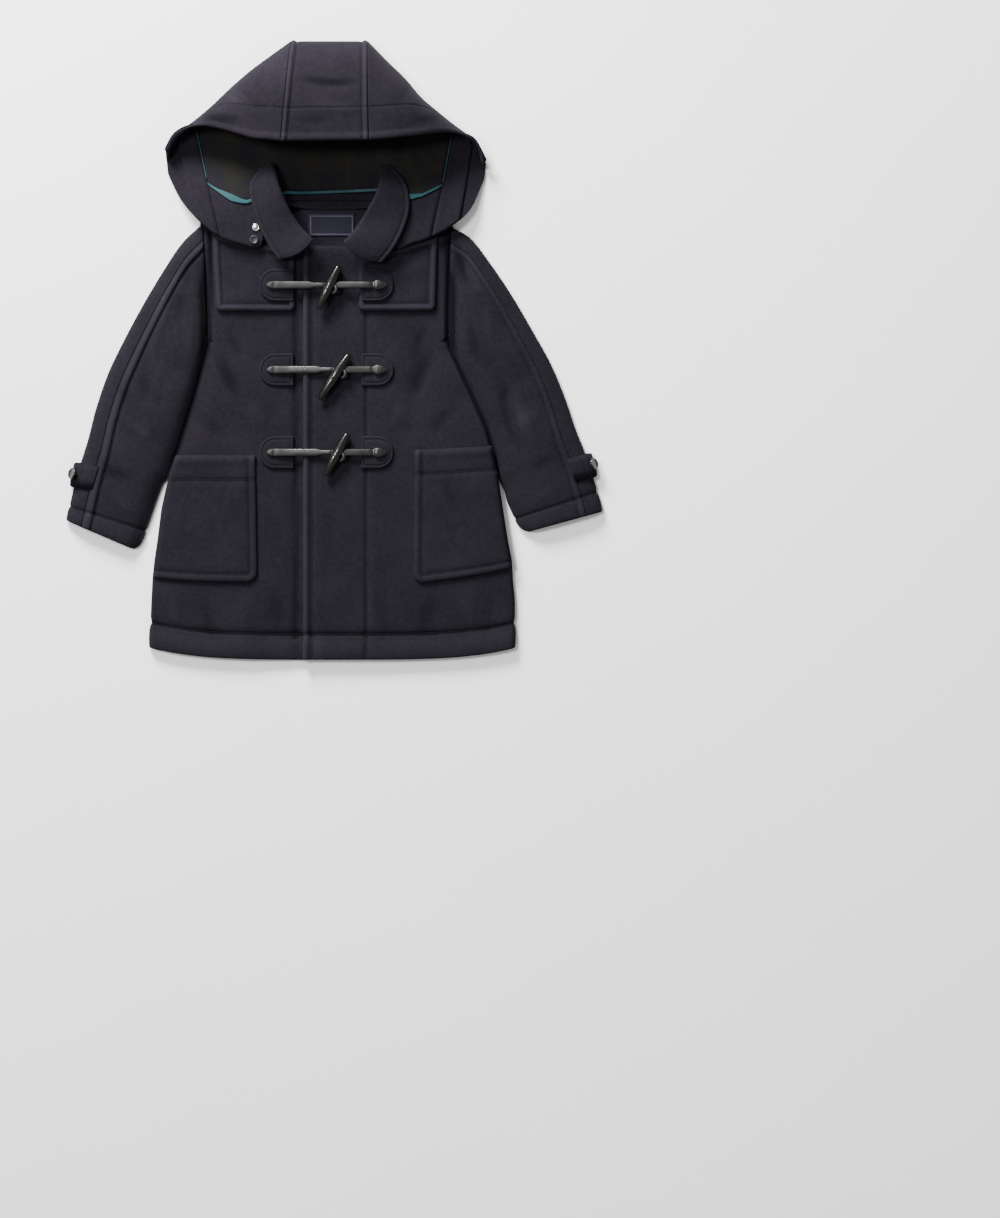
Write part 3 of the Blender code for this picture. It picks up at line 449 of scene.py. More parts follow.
def stitching(name, lines):
    """Rows of stitches. A line is its points and the cloth's normals there."""
    points, faces = [], []
    ring = [(math.cos(a), math.sin(a)) for a in np.linspace(0, 2 * math.pi, 6)[:-1]]
    for line, normals in lines:
        good = ~np.isnan(line[:, 0])
        line, normals = line[good], normals[good]
        run = length_run(line)
        for k in range(int(run[-1] / STITCH)):
            places = (k + np.array((0.10, 0.30, 0.5, 0.70, 0.90))) * STITCH
            heights = np.array((-0.15, 0.18, 0.26, 0.18, -0.15))
            middle = np.stack([np.interp(places, run, line[:, i]) for i in range(3)], axis=1)
            up = np.stack([np.interp(places, run, normals[:, i]) for i in range(3)], axis=1)
            middle = middle + up * heights[:, None]
            ahead = middle[-1] - middle[0]
            ahead /= max(np.linalg.norm(ahead), 1e-9)
            aside = np.cross(ahead, up[2])
            first = len(points)
            for spot, size in zip(middle, (0.5, 1.0, 1.0, 1.0, 0.5)):
                for c, s in ring:
                    points.append(spot + (aside * c + up[2] * s) * THREAD_RADIUS * size)
            for i in range(4):
                for j in range(5):
                    a, b = first + i * 5 + j, first + i * 5 + (j + 1) % 5
                    faces.append((a, b, b + 5, a + 5))
            faces.append(tuple(first + j for j in (4, 3, 2, 1, 0)))
            faces.append(tuple(first + 20 + j for j in range(5)))
    points = np.array(points)
    points[:, 2] = np.maximum(points[:, 2], 0.02)
    piece = made_piece(name, points, faces, THREAD)
    declare(piece, "wool")
    return piece


def back_panel():
    """One grid from the hem to the neck, with the armholes and the shoulders cut out of it."""
    across = np.linspace(0, 1, BACK_COLUMNS)
    base = []
    for y in spread(HEM_Y, UNDERARM_Y, BACK_LEVEL, (HEM_Y, HEM_Y + HEM_STITCH)):
        near = side_x("near", y) + seam_in(y) + SEAM + 0.2
        far = side_x("far", y) - seam_in(y) - SEAM - 0.2
        x = near + (far - near) * across
        base.append(np.stack((x, y + hem_drop(x, y), np.full_like(x, WALL)), axis=1))
    for share in np.linspace(0, 1, 24)[1:]:
        near, far = armhole_at("near", share), armhole_at("far", share)
        x = near + (far - near) * across
        top = np.where(np.abs(x) < NECK_POINT["far"][0], back_neck_y(x), shoulder_seam_y(x))
        y = UNDERARM_Y + share * (top - UNDERARM_Y)
        base.append(np.stack((x, y, np.full_like(x, WALL)), axis=1))
    base = np.array(base)
    fold = base[:, :, 1] - HEM_Y - hem_drop(base[:, :, 0], np.full_like(base[:, :, 0], HEM_Y))
    relief = rolled(fold) + groove(fold, HEM_STITCH, 0.6, 1.6)
    piece = cloth_wall("back_panel", base, relief, WALL, WOOL)
    declare_cloth(piece, base, ["floor"], ["back"], "wool")


back_panel()

# -------------------------------------------------------------------- fronts
# Two fronts of the same melton, each turned round the side to a seam on the back. The wearer's
# left one lies on the right one. Edge, hem and neck are turned in and topstitched, and a wide
# facing is stitched down behind the edge.

OVER_EDGE_X, UNDER_EDGE_X = -33.0, 36.0
INWARD = {"near": 1.0, "far": -1.0}       # which way along X the coat lies from a side
FRONT_NECK_Y = 118.0
LEVEL_NECK_X = 24.0                       # half of the stretch where the neck's edge is level
EDGE_STITCH, FACING_STITCH = 10.0, 69.0
FACING_TOP_Y = 62.0
QUARTER_TURN = math.pi * EDGE_RADIUS / 2  # skin of a quarter of a side's roundness
NECK_LIFT, SHOULDER_DIP, FOLD_DEPTH = 4.6, 3.0, 1.3
SIDE_FALL_NEAR, SIDE_FALL_FAR, SIDE_FALL_WIDTH = 2.3, 0.5, 17.0
UNDER_DIP, OVER_LIFT, OVER_LIFT_TOP = 2.7, 1.1, 2.7
EDGE_RIDGE, SECOND_RIDGE, FACING_RIDGE, BESIDE_DIP = 2.1, 0.5, 0.4, 1.2
PAINTED_CLEFT_SHADE = 2.2                              # painted shade: the wool in the cleft beside an arm is painted darker, as if so much lower

# both ends, depth and width of the creases that show when the coat is laid out
FRONT_CREASES = {
    "near": (
        (-128, 8, -92, -62, -1.1, 9), (-118, 30, -96, -8, -0.8, 7), (-104, -30, -72, -84, 0.8, 12),
        (-150, -62, -112, -96, -0.8, 8), (-62, -252, -58, -318, -0.7, 10), (-176, -255, -168, -318, 0.7, 9),
        (-140, -262, -128, -322, -0.8, 9), (-92, -268, -98, -320, 0.6, 8), (-60, 36, -64, -70, 0.5, 11),
    ),
    "far": (
        (112, 6, 82, -66, -1.2, 9), (104, 34, 88, -14, -0.9, 7), (92, -40, 60, -92, 0.8, 11),
        (138, -58, 104, -92, -0.9, 8), (52, -250, 60, -316, -0.7, 10), (150, -250, 156, -318, 0.7, 9),
        (110, -258, 104, -320, -0.9, 9), (-4, -150, 2, -250, -0.5, 12), (12, -30, 6, -96, 0.5, 10),
        (176, -256, 170, -316, -0.6, 8),
    ),
}


def neck_lift(x, y):
    return NECK_LIFT * (1 - smoothstep(30, 66, np.abs(x))) * smoothstep(84, 114, y)


def shoulder_dip(x, y):
    return -SHOULDER_DIP * smoothstep(58, 76, np.abs(x)) * (1 - smoothstep(2, 22, shoulder_seam_y(x) - y))


def body_folds(x, y):
    free = smoothstep(8, 30, side_x("far", y) - x) * smoothstep(8, 30, x - side_x("near", y))
    near_fold = bell(x + 70 + 0.10 * y, 16) * bell(y + 40, 60)
    far_fold = bell(x - 88 - 0.06 * y, 15) * bell(y + 30, 70)
    return -FOLD_DEPTH * free * (near_fold + far_fold)


def side_fall(x, y):
    """The top layer sinks towards the sides, most of all below the arms."""
    near, far = (side_x(hand, np.minimum(y, UNDERARM_Y)) for hand in ("near", "far"))
    lean = np.maximum(y - UNDERARM_Y, 0.0) * 0.04
    apart = np.minimum(x - near + lean, far + lean - x)
    fall = np.where(x < 0, SIDE_FALL_NEAR, SIDE_FALL_FAR) * bell(np.maximum(apart, 0.0), SIDE_FALL_WIDTH)
    return -fall * (1 - 0.7 * smoothstep(-70, -120, y)) * (1 - smoothstep(85, 120, y))


def front_height(hand, x, y):
    """Top of a front. The left one rises over the right one, which dips under it."""
    if hand == "near":
        over = -UNDER_DIP * smoothstep(-104, -44, x) * (1 - smoothstep(55, 95, y))
    else:
        lift = OVER_LIFT + OVER_LIFT_TOP * smoothstep(55, 95, y)
        over = lift * (1 - smoothstep(UNDER_EDGE_X + 3, UNDER_EDGE_X + 63, x))
    return LAID + over + neck_lift(x, y) + shoulder_dip(x, y) + body_folds(x, y) + side_fall(x, y)


def way_over(width):
    """The skin of a flattened tube from edge to edge, over the top."""
    return width - 2 * EDGE_RADIUS + math.pi * EDGE_RADIUS


def tube_point(width, along):
    """A flattened tube's section: how far in from its outer edge, and how high, by the way
    along its skin over the top. Below 0 the way runs under."""
    past = along > way_over(width) / 2
    folded = np.where(past, way_over(width) - along, along)
    reach = np.abs(folded)
    angle = np.minimum(reach, QUARTER_TURN) / EDGE_RADIUS
    inward = np.where(reach < QUARTER_TURN, EDGE_RADIUS - EDGE_RADIUS * np.cos(angle),
                      EDGE_RADIUS + reach - QUARTER_TURN)
    height = SIDE_LEVEL + np.where(folded >= 0, LAID - SIDE_LEVEL, -SIDE_LEVEL) * np.sin(angle)
    return np.where(past, width - inward, inward), height


def front_point(hand, way, y):
    """A point of a front's outer face, by the way round from the side's edge and the level."""
    way, y = np.broadcast_arrays(np.asarray(way, dtype=float), np.asarray(y, dtype=float))
    depth, height = tube_point(side_x("far", y) - side_x("near", y), way)
    x = side_x(hand, y) + INWARD[hand] * depth
    height = height + (front_height(hand, x, y) - LAID) * smoothstep(0, QUARTER_TURN, way)
    return np.stack((x, y + hem_drop(x, y), height), axis=-1)


def upper_edge_y(hand, x):
    """A front ends at the neck or, further out, at the shoulder seam."""
    neck_x, neck_y = NECK_POINT[hand]
    share = np.clip((np.abs(x) - LEVEL_NECK_X) / (abs(neck_x) - LEVEL_NECK_X), 0, 1)
    neckline = FRONT_NECK_Y + (neck_y - FRONT_NECK_Y) * share ** 1.5
    return np.where(np.abs(x) < abs(neck_x), neckline, shoulder_y(hand, x))


def front_panel(hand, edge_x):
    """A grid from the seam on the back, round the side and over the top to the front's edge."""
    levels = spread(HEM_Y, UNDERARM_Y, 5.0, (HEM_Y, HEM_Y + HEM_STITCH))
    shares = np.linspace(0, 1, 42)[1:]
    marks = (EDGE_STITCH, FACING_STITCH) if hand == "far" else (EDGE_STITCH,)
    whole = abs(edge_x - side_x(hand, UNDERARM_Y)) - EDGE_RADIUS
    from_edge = spread(0.0, whole, 4.5, (0.0,) + marks)[::-1]
    columns = len(from_edge)
    under = np.linspace(0, 1, 7)[:-1]
    round_side = np.linspace(-QUARTER_TURN, QUARTER_TURN, 13)[:-1]
    base = np.full((len(levels) + len(shares), len(under) + len(round_side) + columns, 3), np.nan)
    to_edge = np.full(base.shape[:2], 99.0)

    def spaced(reach):
        """Distances from the edge, true as far as the last row of stitches, then shared out."""
        kept = marks[-1] + 3
        beyond = kept + (from_edge - kept) * (reach - kept) / (whole - kept)
        return np.where(from_edge > kept, beyond, from_edge)

    for i, y in enumerate(levels):
        reach = abs(edge_x - side_x(hand, y)) - EDGE_RADIUS
        hidden = max(seam_in(y) - EDGE_RADIUS, 0.5)
        apart = spaced(reach)
        ways = np.concatenate((-QUARTER_TURN - hidden * (1 - under), round_side,
                               QUARTER_TURN + reach - apart))
        base[i] = front_point(hand, ways, y)
        to_edge[i, -columns:] = apart
    for i, share in enumerate(shares, start=len(levels)):
        apart = spaced(abs(edge_x - armhole_at(hand, share)))
        x = edge_x - INWARD[hand] * apart
        y = UNDERARM_Y + share * (upper_edge_y(hand, x) - UNDERARM_Y)
        base[i, -columns:] = np.stack((x, y, front_height(hand, x, y)), axis=1)
        to_edge[i, -columns:] = apart
    x, y = base[:, :, 0], base[:, :, 1]
    fold = y - HEM_Y - hem_drop(x, np.full_like(x, HEM_Y))
    neck = upper_edge_y(hand, x) - y
    on_neck = np.abs(x) < 70.0
    relief = rolled(to_edge) + rolled(fold) + np.where(on_neck, rolled(neck), rolled(neck, 0.8))
    edge_ridge = EDGE_RIDGE * bell(to_edge - 3.2, 3.4) + SECOND_RIDGE * bell(to_edge - 17.0, 4.0)
    relief += edge_ridge * smoothstep(-2, 6, neck)
    relief += groove(to_edge, EDGE_STITCH - 1.2, 0.9, 3.0) + groove(fold, HEM_STITCH, 1.5, 3.0)
    relief += padded_edge(fold, HEM_STITCH, 1.0)
    if hand == "far":
        stitched = 1 - smoothstep(FACING_TOP_Y, FACING_TOP_Y + 8, y)
        relief += groove(to_edge, FACING_STITCH, 0.95, 2.6) * stitched
        relief += FACING_RIDGE * bell(to_edge - FACING_STITCH - 5.5, 2.6) * stitched
    else:
        relief -= BESIDE_DIP * bell(x - OVER_EDGE_X + 8.5, 4.5) * (1 - smoothstep(30, 60, y))
    on_top = base[:, :, 2] > LAID - 3.5
    relief += np.where(on_top, creases(x, y, FRONT_CREASES[hand]), 0.0)
    relief = np.nan_to_num(relief)
    # painted shade on the body's side edge, in the cleft where a sleeve lies beside it
    painted_cleft_shade = np.nan_to_num(PAINTED_CLEFT_SHADE * bell(x - side_x(hand, y), 3.0) * smoothstep(-128, -112, y))
    piece = cloth_wall(f"front_panel_{hand}", base, relief, WALL, WOOL, painted_cleft_shade)
    outer, normals = raised(base, relief)

    def column_line(at, top_y=1e9):
        j = int(np.nanargmin(np.abs(to_edge[20] - at)))
        line = outer[:, j].copy()
        line[line[:, 1] > top_y] = np.nan
        return line, normals[:, j]

    hem_row = int(np.argmin(np.abs(levels - HEM_Y - HEM_STITCH)))
    lines = [(outer[hem_row], normals[hem_row])]
    if hand == "far":
        lines += [column_line(EDGE_STITCH), column_line(FACING_STITCH, FACING_TOP_Y)]
    sewn = stitching(f"front_stitching_{hand}", lines)
    rests = ["back_panel"] + (["front_panel_near"] if hand == "far" else [])
    declare_cloth(piece, base, rests, [f"front_{hand}"], "wool")


front_panel("near", UNDER_EDGE_X)
front_panel("far", OVER_EDGE_X)

# ------------------------------------------------------------------- sleeves
# Each sleeve is cut in two: a front half, and a back half whose seam with it lies on the front,
# lapped and topstitched. The other seam is on the underside. The cuff is turned in and stitched.

# outer edge and inner edge from the armhole to the cuff, and how far the top stands up
SLEEVE = {
    "near": (
        (-144.1, 141.5, -136.8, 12.0, 1.5),
        (-166.0, 121.0, -142.3, -6.0, 3.5),
        (-187.0, 90.0, -148.4, -28.0, 5.0),
        (-208.0, 55.0, -155.1, -53.0, 5.0),
        (-228.0, 18.0, -162.7, -78.0, 4.5),
        (-247.0, -21.0, -170.7, -104.0, 4.0),
        (-261.0, -61.0, -180.5, -129.0, 3.5),
        (-270.0, -96.0, -189.5, -150.0, 3.5),
        (-281.0, -131.0, -196.4, -169.0, 3.0),
        (-289.0, -163.0, -203.4, -189.5, 2.5),
        (-293.7, -185.0, -215.0, -218.5, 2.0),
    ),
    "far": (
        (130.1, 138.5, 125.4, 12.0, 1.5),
        (152.0, 125.0, 133.0, -3.0, 3.5),
        (174.0, 97.0, 142.9, -24.0, 5.0),
        (198.0, 61.0, 154.6, -49.0, 5.0),
        (219.0, 25.0, 166.1, -75.0, 4.5),
        (239.0, -11.0, 174.6, -100.0, 4.0),
        (254.5, -48.0, 181.0, -124.0, 3.5),
        (266.0, -82.0, 187.0, -146.0, 3.5),
        (280.0, -117.0, 191.5, -164.0, 3.0),
        (290.0, -150.0, 199.0, -181.0, 2.5),
        (296.5, -175.0, 209.0, -199.0, 2.0),
    ),
}
SLEEVE_FRONT_SEAM = 21.0      # from the outer edge, on the front
SLEEVE_BACK_SEAM = 26.0       # from the inner edge, on the underside
SLEEVE_STITCH = {"near": 11.0, "far": 8.0}
SLEEVE_LAP = {"near": 1.7, "far": 0.8}
DOME, DOME_CREST, DOME_FALL = 1.35, 0.62, 40.0     # height, its place across, and the fall inside
OUTER_SINK, INNER_SINK = 2.6, 5.0
SEAM_DIP = 2.6
ALLOWANCE = 1.2                                    # thickness of a pressed seam allowance
CUFF_STITCH, CUFF_CORNER = 20.0, 9.0
SLEEVE_CREASES = {
    "near": (
        (-150, 112, -172, 20, -0.9, 9), (-146, 60, -160, -20, 0.7, 8), (-196, 60, -178, -40, -0.7, 12),
        (-214, -20, -186, -60, -0.9, 9), (-232, -70, -196, -92, 0.8, 9), (-240, -30, -214, -60, -0.6, 8),
        (-262, -120, -214, -140, -0.9, 8), (-246, -150, -212, -176, 0.7, 8), (-176, 90, -160, 60, 0.6, 8),
        (-172, 84, -200, -30, 1.5, 8), (-164, 30, -212, -120, 1.0, 7), (-184, -20, -214, -110, -0.6, 9),
    ),
    "far": (
        (138, 122, 152, 70, -1.4, 6), (146, 118, 168, 60, 1.0, 7), (150, 40, 166, -20, -0.8, 8),
        (190, 50, 178, -40, -0.7, 11), (212, -20, 186, -58, -0.9, 9), (232, -62, 198, -88, 0.8, 9),
        (258, -112, 212, -134, -0.9, 8), (250, -146, 216, -166, 0.7, 8), (224, 6, 208, -30, -0.5, 9),
        (166, 60, 196, -30, 1.0, 9), (196, -20, 226, -110, 0.9, 9), (182, -20, 214, -120, -0.8, 7),
    ),
}


def spline(rows, places):
    """Catmull-Rom through the rows of a table, read at places from 0 to the last row."""
    points = np.array(rows, dtype=float)
    padded = np.vstack((2 * points[0] - points[1], points, 2 * points[-1] - points[-2]))
    places = np.asarray(places, dtype=float)
    start = np.minimum(places.astype(int), len(points) - 2)
    t = (places - start)[:, None]
    a, b, c, d = (padded[start + k] for k in range(4))
    return 0.5 * (2 * b + (c - a) * t + (2 * a - 5 * b + 4 * c - d) * t * t
                  + (3 * b - a - 3 * c + d) * t ** 3)


def sleeve_point(station, way):
    """A point of a sleeve's outer face, by its section's edges and the way round it. The top is
    a low dome, highest towards the body, and sinks to both edges."""
    outer, inner, bulge = station[..., :2], station[..., 2:4], station[..., 4]
    width = np.linalg.norm(inner - outer, axis=-1)
    depth, height = tube_point(width, way)
    share = depth / width
    rise = 1 - (1 - np.clip(share / DOME_CREST, 0, 1)) ** 2
    fall = 1 - (1 - np.clip((width - depth) / DOME_FALL, 0, 1)) ** 2
    dome = bulge * DOME * rise * fall - OUTER_SINK * bell(depth, 8.0)
    dome = dome - INNER_SINK * bell(width - depth, 9.5)
    height = height + dome * smoothstep(0, QUARTER_TURN / 1.3, np.minimum(way, way_over(width) - way))
    flat = outer + (inner - outer) * share[..., None]
    return np.concatenate((flat, height[..., None]), axis=-1)


def corner_cut(distance, radius):
    """How far a round corner draws an edge in, by the distance from the side beside it."""
    past = np.clip(radius - distance, 0.0, radius)
    return radius - np.sqrt(radius ** 2 - past ** 2)


def beside_body(hand, stations):
    """Stations whose inner edge lies close by the body are brought right up to it."""
    gap = (side_x(hand, stations[:, 3]) - stations[:, 2]) * INWARD[hand]
    share = (1 - smoothstep(2.5, 4.5, gap)) * (stations[:, 3] < UNDERARM_Y - 1)
    stations[:, 2] += INWARD[hand] * share * (gap + 0.3)
    return stations


def half_sleeve_ways(half, over, stitch):
    """The ways round a section where a half has its points, and how far each is from the seam."""
    if half == "front":
        near_seam = spread(0.0, 16.0, 2.5, (0.0, stitch))
        top = np.linspace(16.0, over - QUARTER_TURN - SLEEVE_FRONT_SEAM, 19)[1:-1]
        ways = np.concatenate((SLEEVE_FRONT_SEAM + near_seam, SLEEVE_FRONT_SEAM + top,
                               np.linspace(over - QUARTER_TURN, over + QUARTER_TURN, 12),
                               np.linspace(over + QUARTER_TURN, over + SLEEVE_BACK_SEAM, 7)[1:]))
        return ways, ways - SLEEVE_FRONT_SEAM
    start = SLEEVE_FRONT_SEAM - SEAM - 0.1
    flat_end = -(over - SLEEVE_BACK_SEAM - SEAM - 0.1)
    ways = np.concatenate((start - spread(0.0, 8.0, 2.0, (0.0,)),
                           np.linspace(start - 8.0, QUARTER_TURN, 6)[1:-1],
                           np.linspace(QUARTER_TURN, -QUARTER_TURN, 12),
                           np.linspace(-QUARTER_TURN, flat_end, 15)[1:]))
    return ways, start - ways


def sleeve(hand):
    places = np.linspace(0, len(SLEEVE[hand]) - 1, 101)
    coarse = spline(SLEEVE[hand], places)
    run = length_run((coarse[:, :2] + coarse[:, 2:4]) / 2)
    lengths = spread(0.0, run[-1], 5.0, (run[-1], run[-1] - CUFF_STITCH))
    stations = beside_body(hand, spline(SLEEVE[hand], np.interp(lengths, run, places)))
    to_cuff = (run[-1] - lengths)[:, None]
    rests = [["back_panel"], ["back_panel", f"sleeve_back_panel_{hand}"]]
    for half in ("back", "front"):
        base, from_seam = [], []
        for station in stations:
            over = way_over(np.linalg.norm(station[2:4] - station[:2]))
            ways, apart = half_sleeve_ways(half, over, SLEEVE_STITCH[hand])
            base.append(sleeve_point(station, ways))
            from_seam.append(apart)
        base, from_seam = np.array(base), np.array(from_seam)
        from_inner = np.linalg.norm(base[:, :, :2] - stations[:, None, 2:4], axis=2)
        up_arm = (stations[-2, 2:4] - stations[-1, 2:4])
        cut = corner_cut(from_inner, CUFF_CORNER) * np.clip(1 - to_cuff / CUFF_STITCH, 0, 1)
        base[:, :, :2] += cut[..., None] * up_arm / np.linalg.norm(up_arm)
        x, y = base[:, :, 0], base[:, :, 1]
        cuff = to_cuff + 0 * from_seam
        relief = rolled(cuff) + groove(cuff, CUFF_STITCH) + padded_edge(cuff, CUFF_STITCH, 0.73)
        relief += rolled(from_seam, 0.8 if half == "front" and hand == "near" else 0.3)
        if half == "front":
            relief += groove(from_seam, SLEEVE_STITCH[hand], 0.75 * SLEEVE_LAP[hand], 2.0)
            relief += padded_edge(from_seam, SLEEVE_STITCH[hand], SLEEVE_LAP[hand])
        on_top = smoothstep(LAID - 4.0, LAID - 1.0, base[:, :, 2])
        relief += creases(x, y, SLEEVE_CREASES[hand]) * on_top
        beside_seam = bell(x - armhole_x(hand, y), 8.0) * (1 - smoothstep(50, 120, y)) * on_top
        relief -= SEAM_DIP * beside_seam
        # painted shade on the sleeve's inner edge, in the cleft beside the body, and half as much beside the
        # armhole seam
        painted_cleft_shade = PAINTED_CLEFT_SHADE * (bell(from_inner, 4.5) * smoothstep(-128, -112, y) + 0.5 * beside_seam)
        piece = cloth_wall(f"sleeve_{half}_panel_{hand}", base, relief, WALL, WOOL, painted_cleft_shade)
        outer, normals = raised(base, relief)
        row = int(np.argmin(np.abs(to_cuff[:, 0] - CUFF_STITCH)))
        lines = [(outer[row], normals[row])]
        if half == "front":
            column = int(np.argmin(np.abs(from_seam[0] - SLEEVE_STITCH[hand])))
            lines.append((outer[:, column], normals[:, column]))
        sewn = stitching(f"sleeve_{half}_stitching_{hand}", lines)
        declare_cloth(piece, base, rests.pop(0), [f"sleeve_{half}_{hand}"], "wool")


def armhole_seam(hand):
    """The seam's allowances inside the armhole, and the sewn edge that closes its groove."""
    for name, half, below_tip in (("allowance", 5.0, 1), ("seam", 1.6, 6)):
        levels = np.linspace(UNDERARM_Y - 4, SHOULDER_TIP[hand][1] - below_tip, 30)
        aside = np.linspace(-half, half, 5)
        x = armhole_x(hand, levels)[:, None] + aside
        y = levels[:, None] + 0 * x
        level = np.full(x.shape, WALL + ALLOWANCE + 0.1)
        if name == "seam":
            foot = 1 - smoothstep(UNDERARM_Y, UNDERARM_Y + 24, y)
            level = front_height(hand, x, y) - 1.1 - 1.6 * foot
        relief = rolled(half - np.abs(aside), ALLOWANCE / 2)[None, :]
        grid = np.stack((x, y, level), axis=-1)
        declare(cloth_wall(f"armhole_{name}_{hand}", grid, relief, ALLOWANCE, WOOL), "wool")


for hand in SLEEVE:
    sleeve(hand)
    armhole_seam(hand)

# ---------------------------------------------------------------------- hood
# Two sides and a gusset of melton over the crown. The lower layer lies on the shoulders and on
# the surface, folds over at the back, and rises to the brim. Lapped seams join the gusset, and
# the brim is turned in, with the facing stitched down all round it.

# lower edge, fold, brim, height of the brim, radius of the fold, distance of the tape
HOOD = {
    "near": (
        (-37, 172, -46.5, 342.5, -56.5, 229.3, 64, 9.0, 4.5),
        (-60, 170, -68, 327, -70, 231, 62, 9.0, 5),
        (-74, 149, -91, 310, -86, 232.5, 58, 9.0, 22),
        (-79, 116, -113, 291, -100, 236.5, 52, 8.5, 53),
        (-101, 118, -134, 271, -121, 243, 45, 8.0, 54),
        (-124, 126, -153, 255, -140, 247, 37, 7.5, 62),
        (-145, 142, -167.5, 244, -157, 246.5, 30, 7.0, 62),
        (-167, 167, -178.5, 231.5, -172, 239.5, 22, 6.5, 62),
        (-181.6, 196, -184, 215, -182, 225, 15, 6.0, 62),
    ),
    "far": (
        (41, 173, 38.5, 342.5, 40.5, 230.5, 64, 9.0, 4.5),
        (60, 170, 61.5, 319, 59, 232, 62, 9.0, 5),
        (72, 150, 80, 301, 76, 234, 58, 9.0, 24),
        (69, 114, 97, 281, 92, 236, 52, 8.5, 59),
        (88, 119, 115, 265.5, 108, 238.5, 45, 8.0, 52),
        (108, 126, 133, 251, 124, 240, 37, 7.5, 57),
        (130, 138, 148.5, 239.5, 140, 238.5, 30, 7.0, 57),
        (151, 157, 161.8, 226, 155, 232, 22, 6.5, 57),
        (166, 190, 168, 204, 166, 212, 15, 6.0, 57),
    ),
}
HOOD_OVER_SHOULDER = 15.7
HOOD_CREST = 0.75             # share of the way to the brim where the dome is highest
BRIM_STITCH, GUSSET_STITCH = 9.0, 6.5
FACING_WIDTH, FACING_STITCH_IN = 40.0, 36.0
FAN_STEPS = 4                 # sections for each row of a side's table
GUSSET_STEPS = 14
SIDE_ROWS = len(HOOD["near"]) - 1
HOOD_CREASES = (
    (-40, 300, 34, 296, -1.4, 5), (-30, 272, 44, 268, 0.9, 6), (-48, 254, 10, 258, -0.8, 6),
    (-150, 262, -96, 254, -1.3, 6), (-128, 288, -84, 270, 0.9, 7), (-108, 300, -70, 262, -0.8, 8),
    (128, 256, 84, 250, -1.2, 6), (104, 282, 74, 264, 0.8, 7), (92, 296, 70, 262, -0.7, 8),
)


def hood_bed(x, y):
    """Height of the hood's lower layer, which climbs over the shoulders."""
    climb = HOOD_OVER_SHOULDER * (1 - smoothstep(-8, 84, y - shoulder_seam_y(x)))
    return climb * smoothstep(20, 80, np.abs(x))


def hood_section(row, lower_steps=40, turn_steps=8, upper_steps=36, lip_steps=14):
    """One section: along the bed, round the fold and over the dome to the brim."""
    edge, fold, brim, height, radius = row[0:2], row[2:4], row[4:6], row[6], row[7]
    lower, upper = np.linalg.norm(edge - fold), np.linalg.norm(brim - fold)
    radius = min(radius, lower * 0.8)

    def along(target, depth, length):
        return fold + (target - fold) * (depth / length)[:, None]

    depth = np.linspace(lower, radius, lower_steps + 1)[:-1]
    flat = along(edge, depth, lower)
    parts = [np.column_stack((flat, hood_bed(*flat.T)))]
    angle = np.linspace(0, math.pi / 2, turn_steps + 1)[:-1]
    flat = along(edge, radius - radius * np.sin(angle), lower)
    parts.append(np.column_stack((flat, hood_bed(*flat.T) + radius - radius * np.cos(angle))))
    start = float(hood_bed(*fold)) + radius
    crest = upper * HOOD_CREST
    angle = np.linspace(0, math.pi / 2, upper_steps + 1)
    flat = along(brim, crest - crest * np.cos(angle), upper)
    parts.append(np.column_stack((flat, start + (height - start) * np.sin(angle))))
    flat = along(brim, np.linspace(crest, upper, lip_steps + 1)[1:], upper)
    parts.append(np.column_stack((flat, np.full(len(flat), height))))
    return np.concatenate(parts)


def hood_fan():
    """All the sections, from the near corner over the gusset to the far corner."""
    places = np.linspace(0, SIDE_ROWS, SIDE_ROWS * FAN_STEPS + 1)
    near = spline(HOOD["near"], places)[::-1]
    far = spline(HOOD["far"], places)
    middle = [near[-1] + (far[0] - near[-1]) * k / GUSSET_STEPS for k in range(1, GUSSET_STEPS)]
    return np.array([hood_section(row) for row in np.vstack((near, middle, far))])


FAN = hood_fan()
NEAR_SEAM = SIDE_ROWS * FAN_STEPS
FAR_SEAM = NEAR_SEAM + GUSSET_STEPS


def lengths_along(grid):
    """For each point of a grid, how far it lies along its row."""
    steps = np.linalg.norm(np.diff(grid, axis=1), axis=2)
    return np.concatenate((np.zeros((len(grid), 1)), np.cumsum(steps, axis=1)), axis=1)


def lengths_across(grid):
    return lengths_along(grid.transpose(1, 0, 2)).T


def from_ends(lengths):
    """How far each point is from the nearer end of its row."""
    return np.minimum(lengths, lengths[:, -1:] - lengths)


def rows_at(grid, places):
    places = np.asarray(places, dtype=float)
    start = np.minimum(places.astype(int), len(grid) - 2)
    share = (places - start).reshape((-1,) + (1,) * (grid.ndim - 1))
    return grid[start] + (grid[start + 1] - grid[start]) * share


def fan_relief(grid, seams, lapped):
    """Turned brim and its stitches, and the seams, which are lapped and stitched on the gusset."""
    along = lengths_along(grid)
    to_brim = along[:, -1:] - along
    relief = rolled(to_brim) + padded_edge(to_brim, BRIM_STITCH, 1.05) + rolled(along)
    relief += groove(to_brim, FACING_STITCH_IN, 0.7, 1.0)
    from_start = lengths_across(grid)
    for side in seams:
        apart = from_start if side == "first" else from_start[-1:] - from_start
        relief += rolled(apart, 0.9)
        if lapped:
            relief += groove(apart, GUSSET_STITCH, 0.9) + padded_edge(apart, GUSSET_STITCH, 1.26)
    x, y, z = grid[:, :, 0], grid[:, :, 1], grid[:, :, 2]
    top = along > along[:, -1:] * 0.62
    return relief + np.where(top, creases(x, y, HOOD_CREASES), 0.0) * smoothstep(14, 26, z)


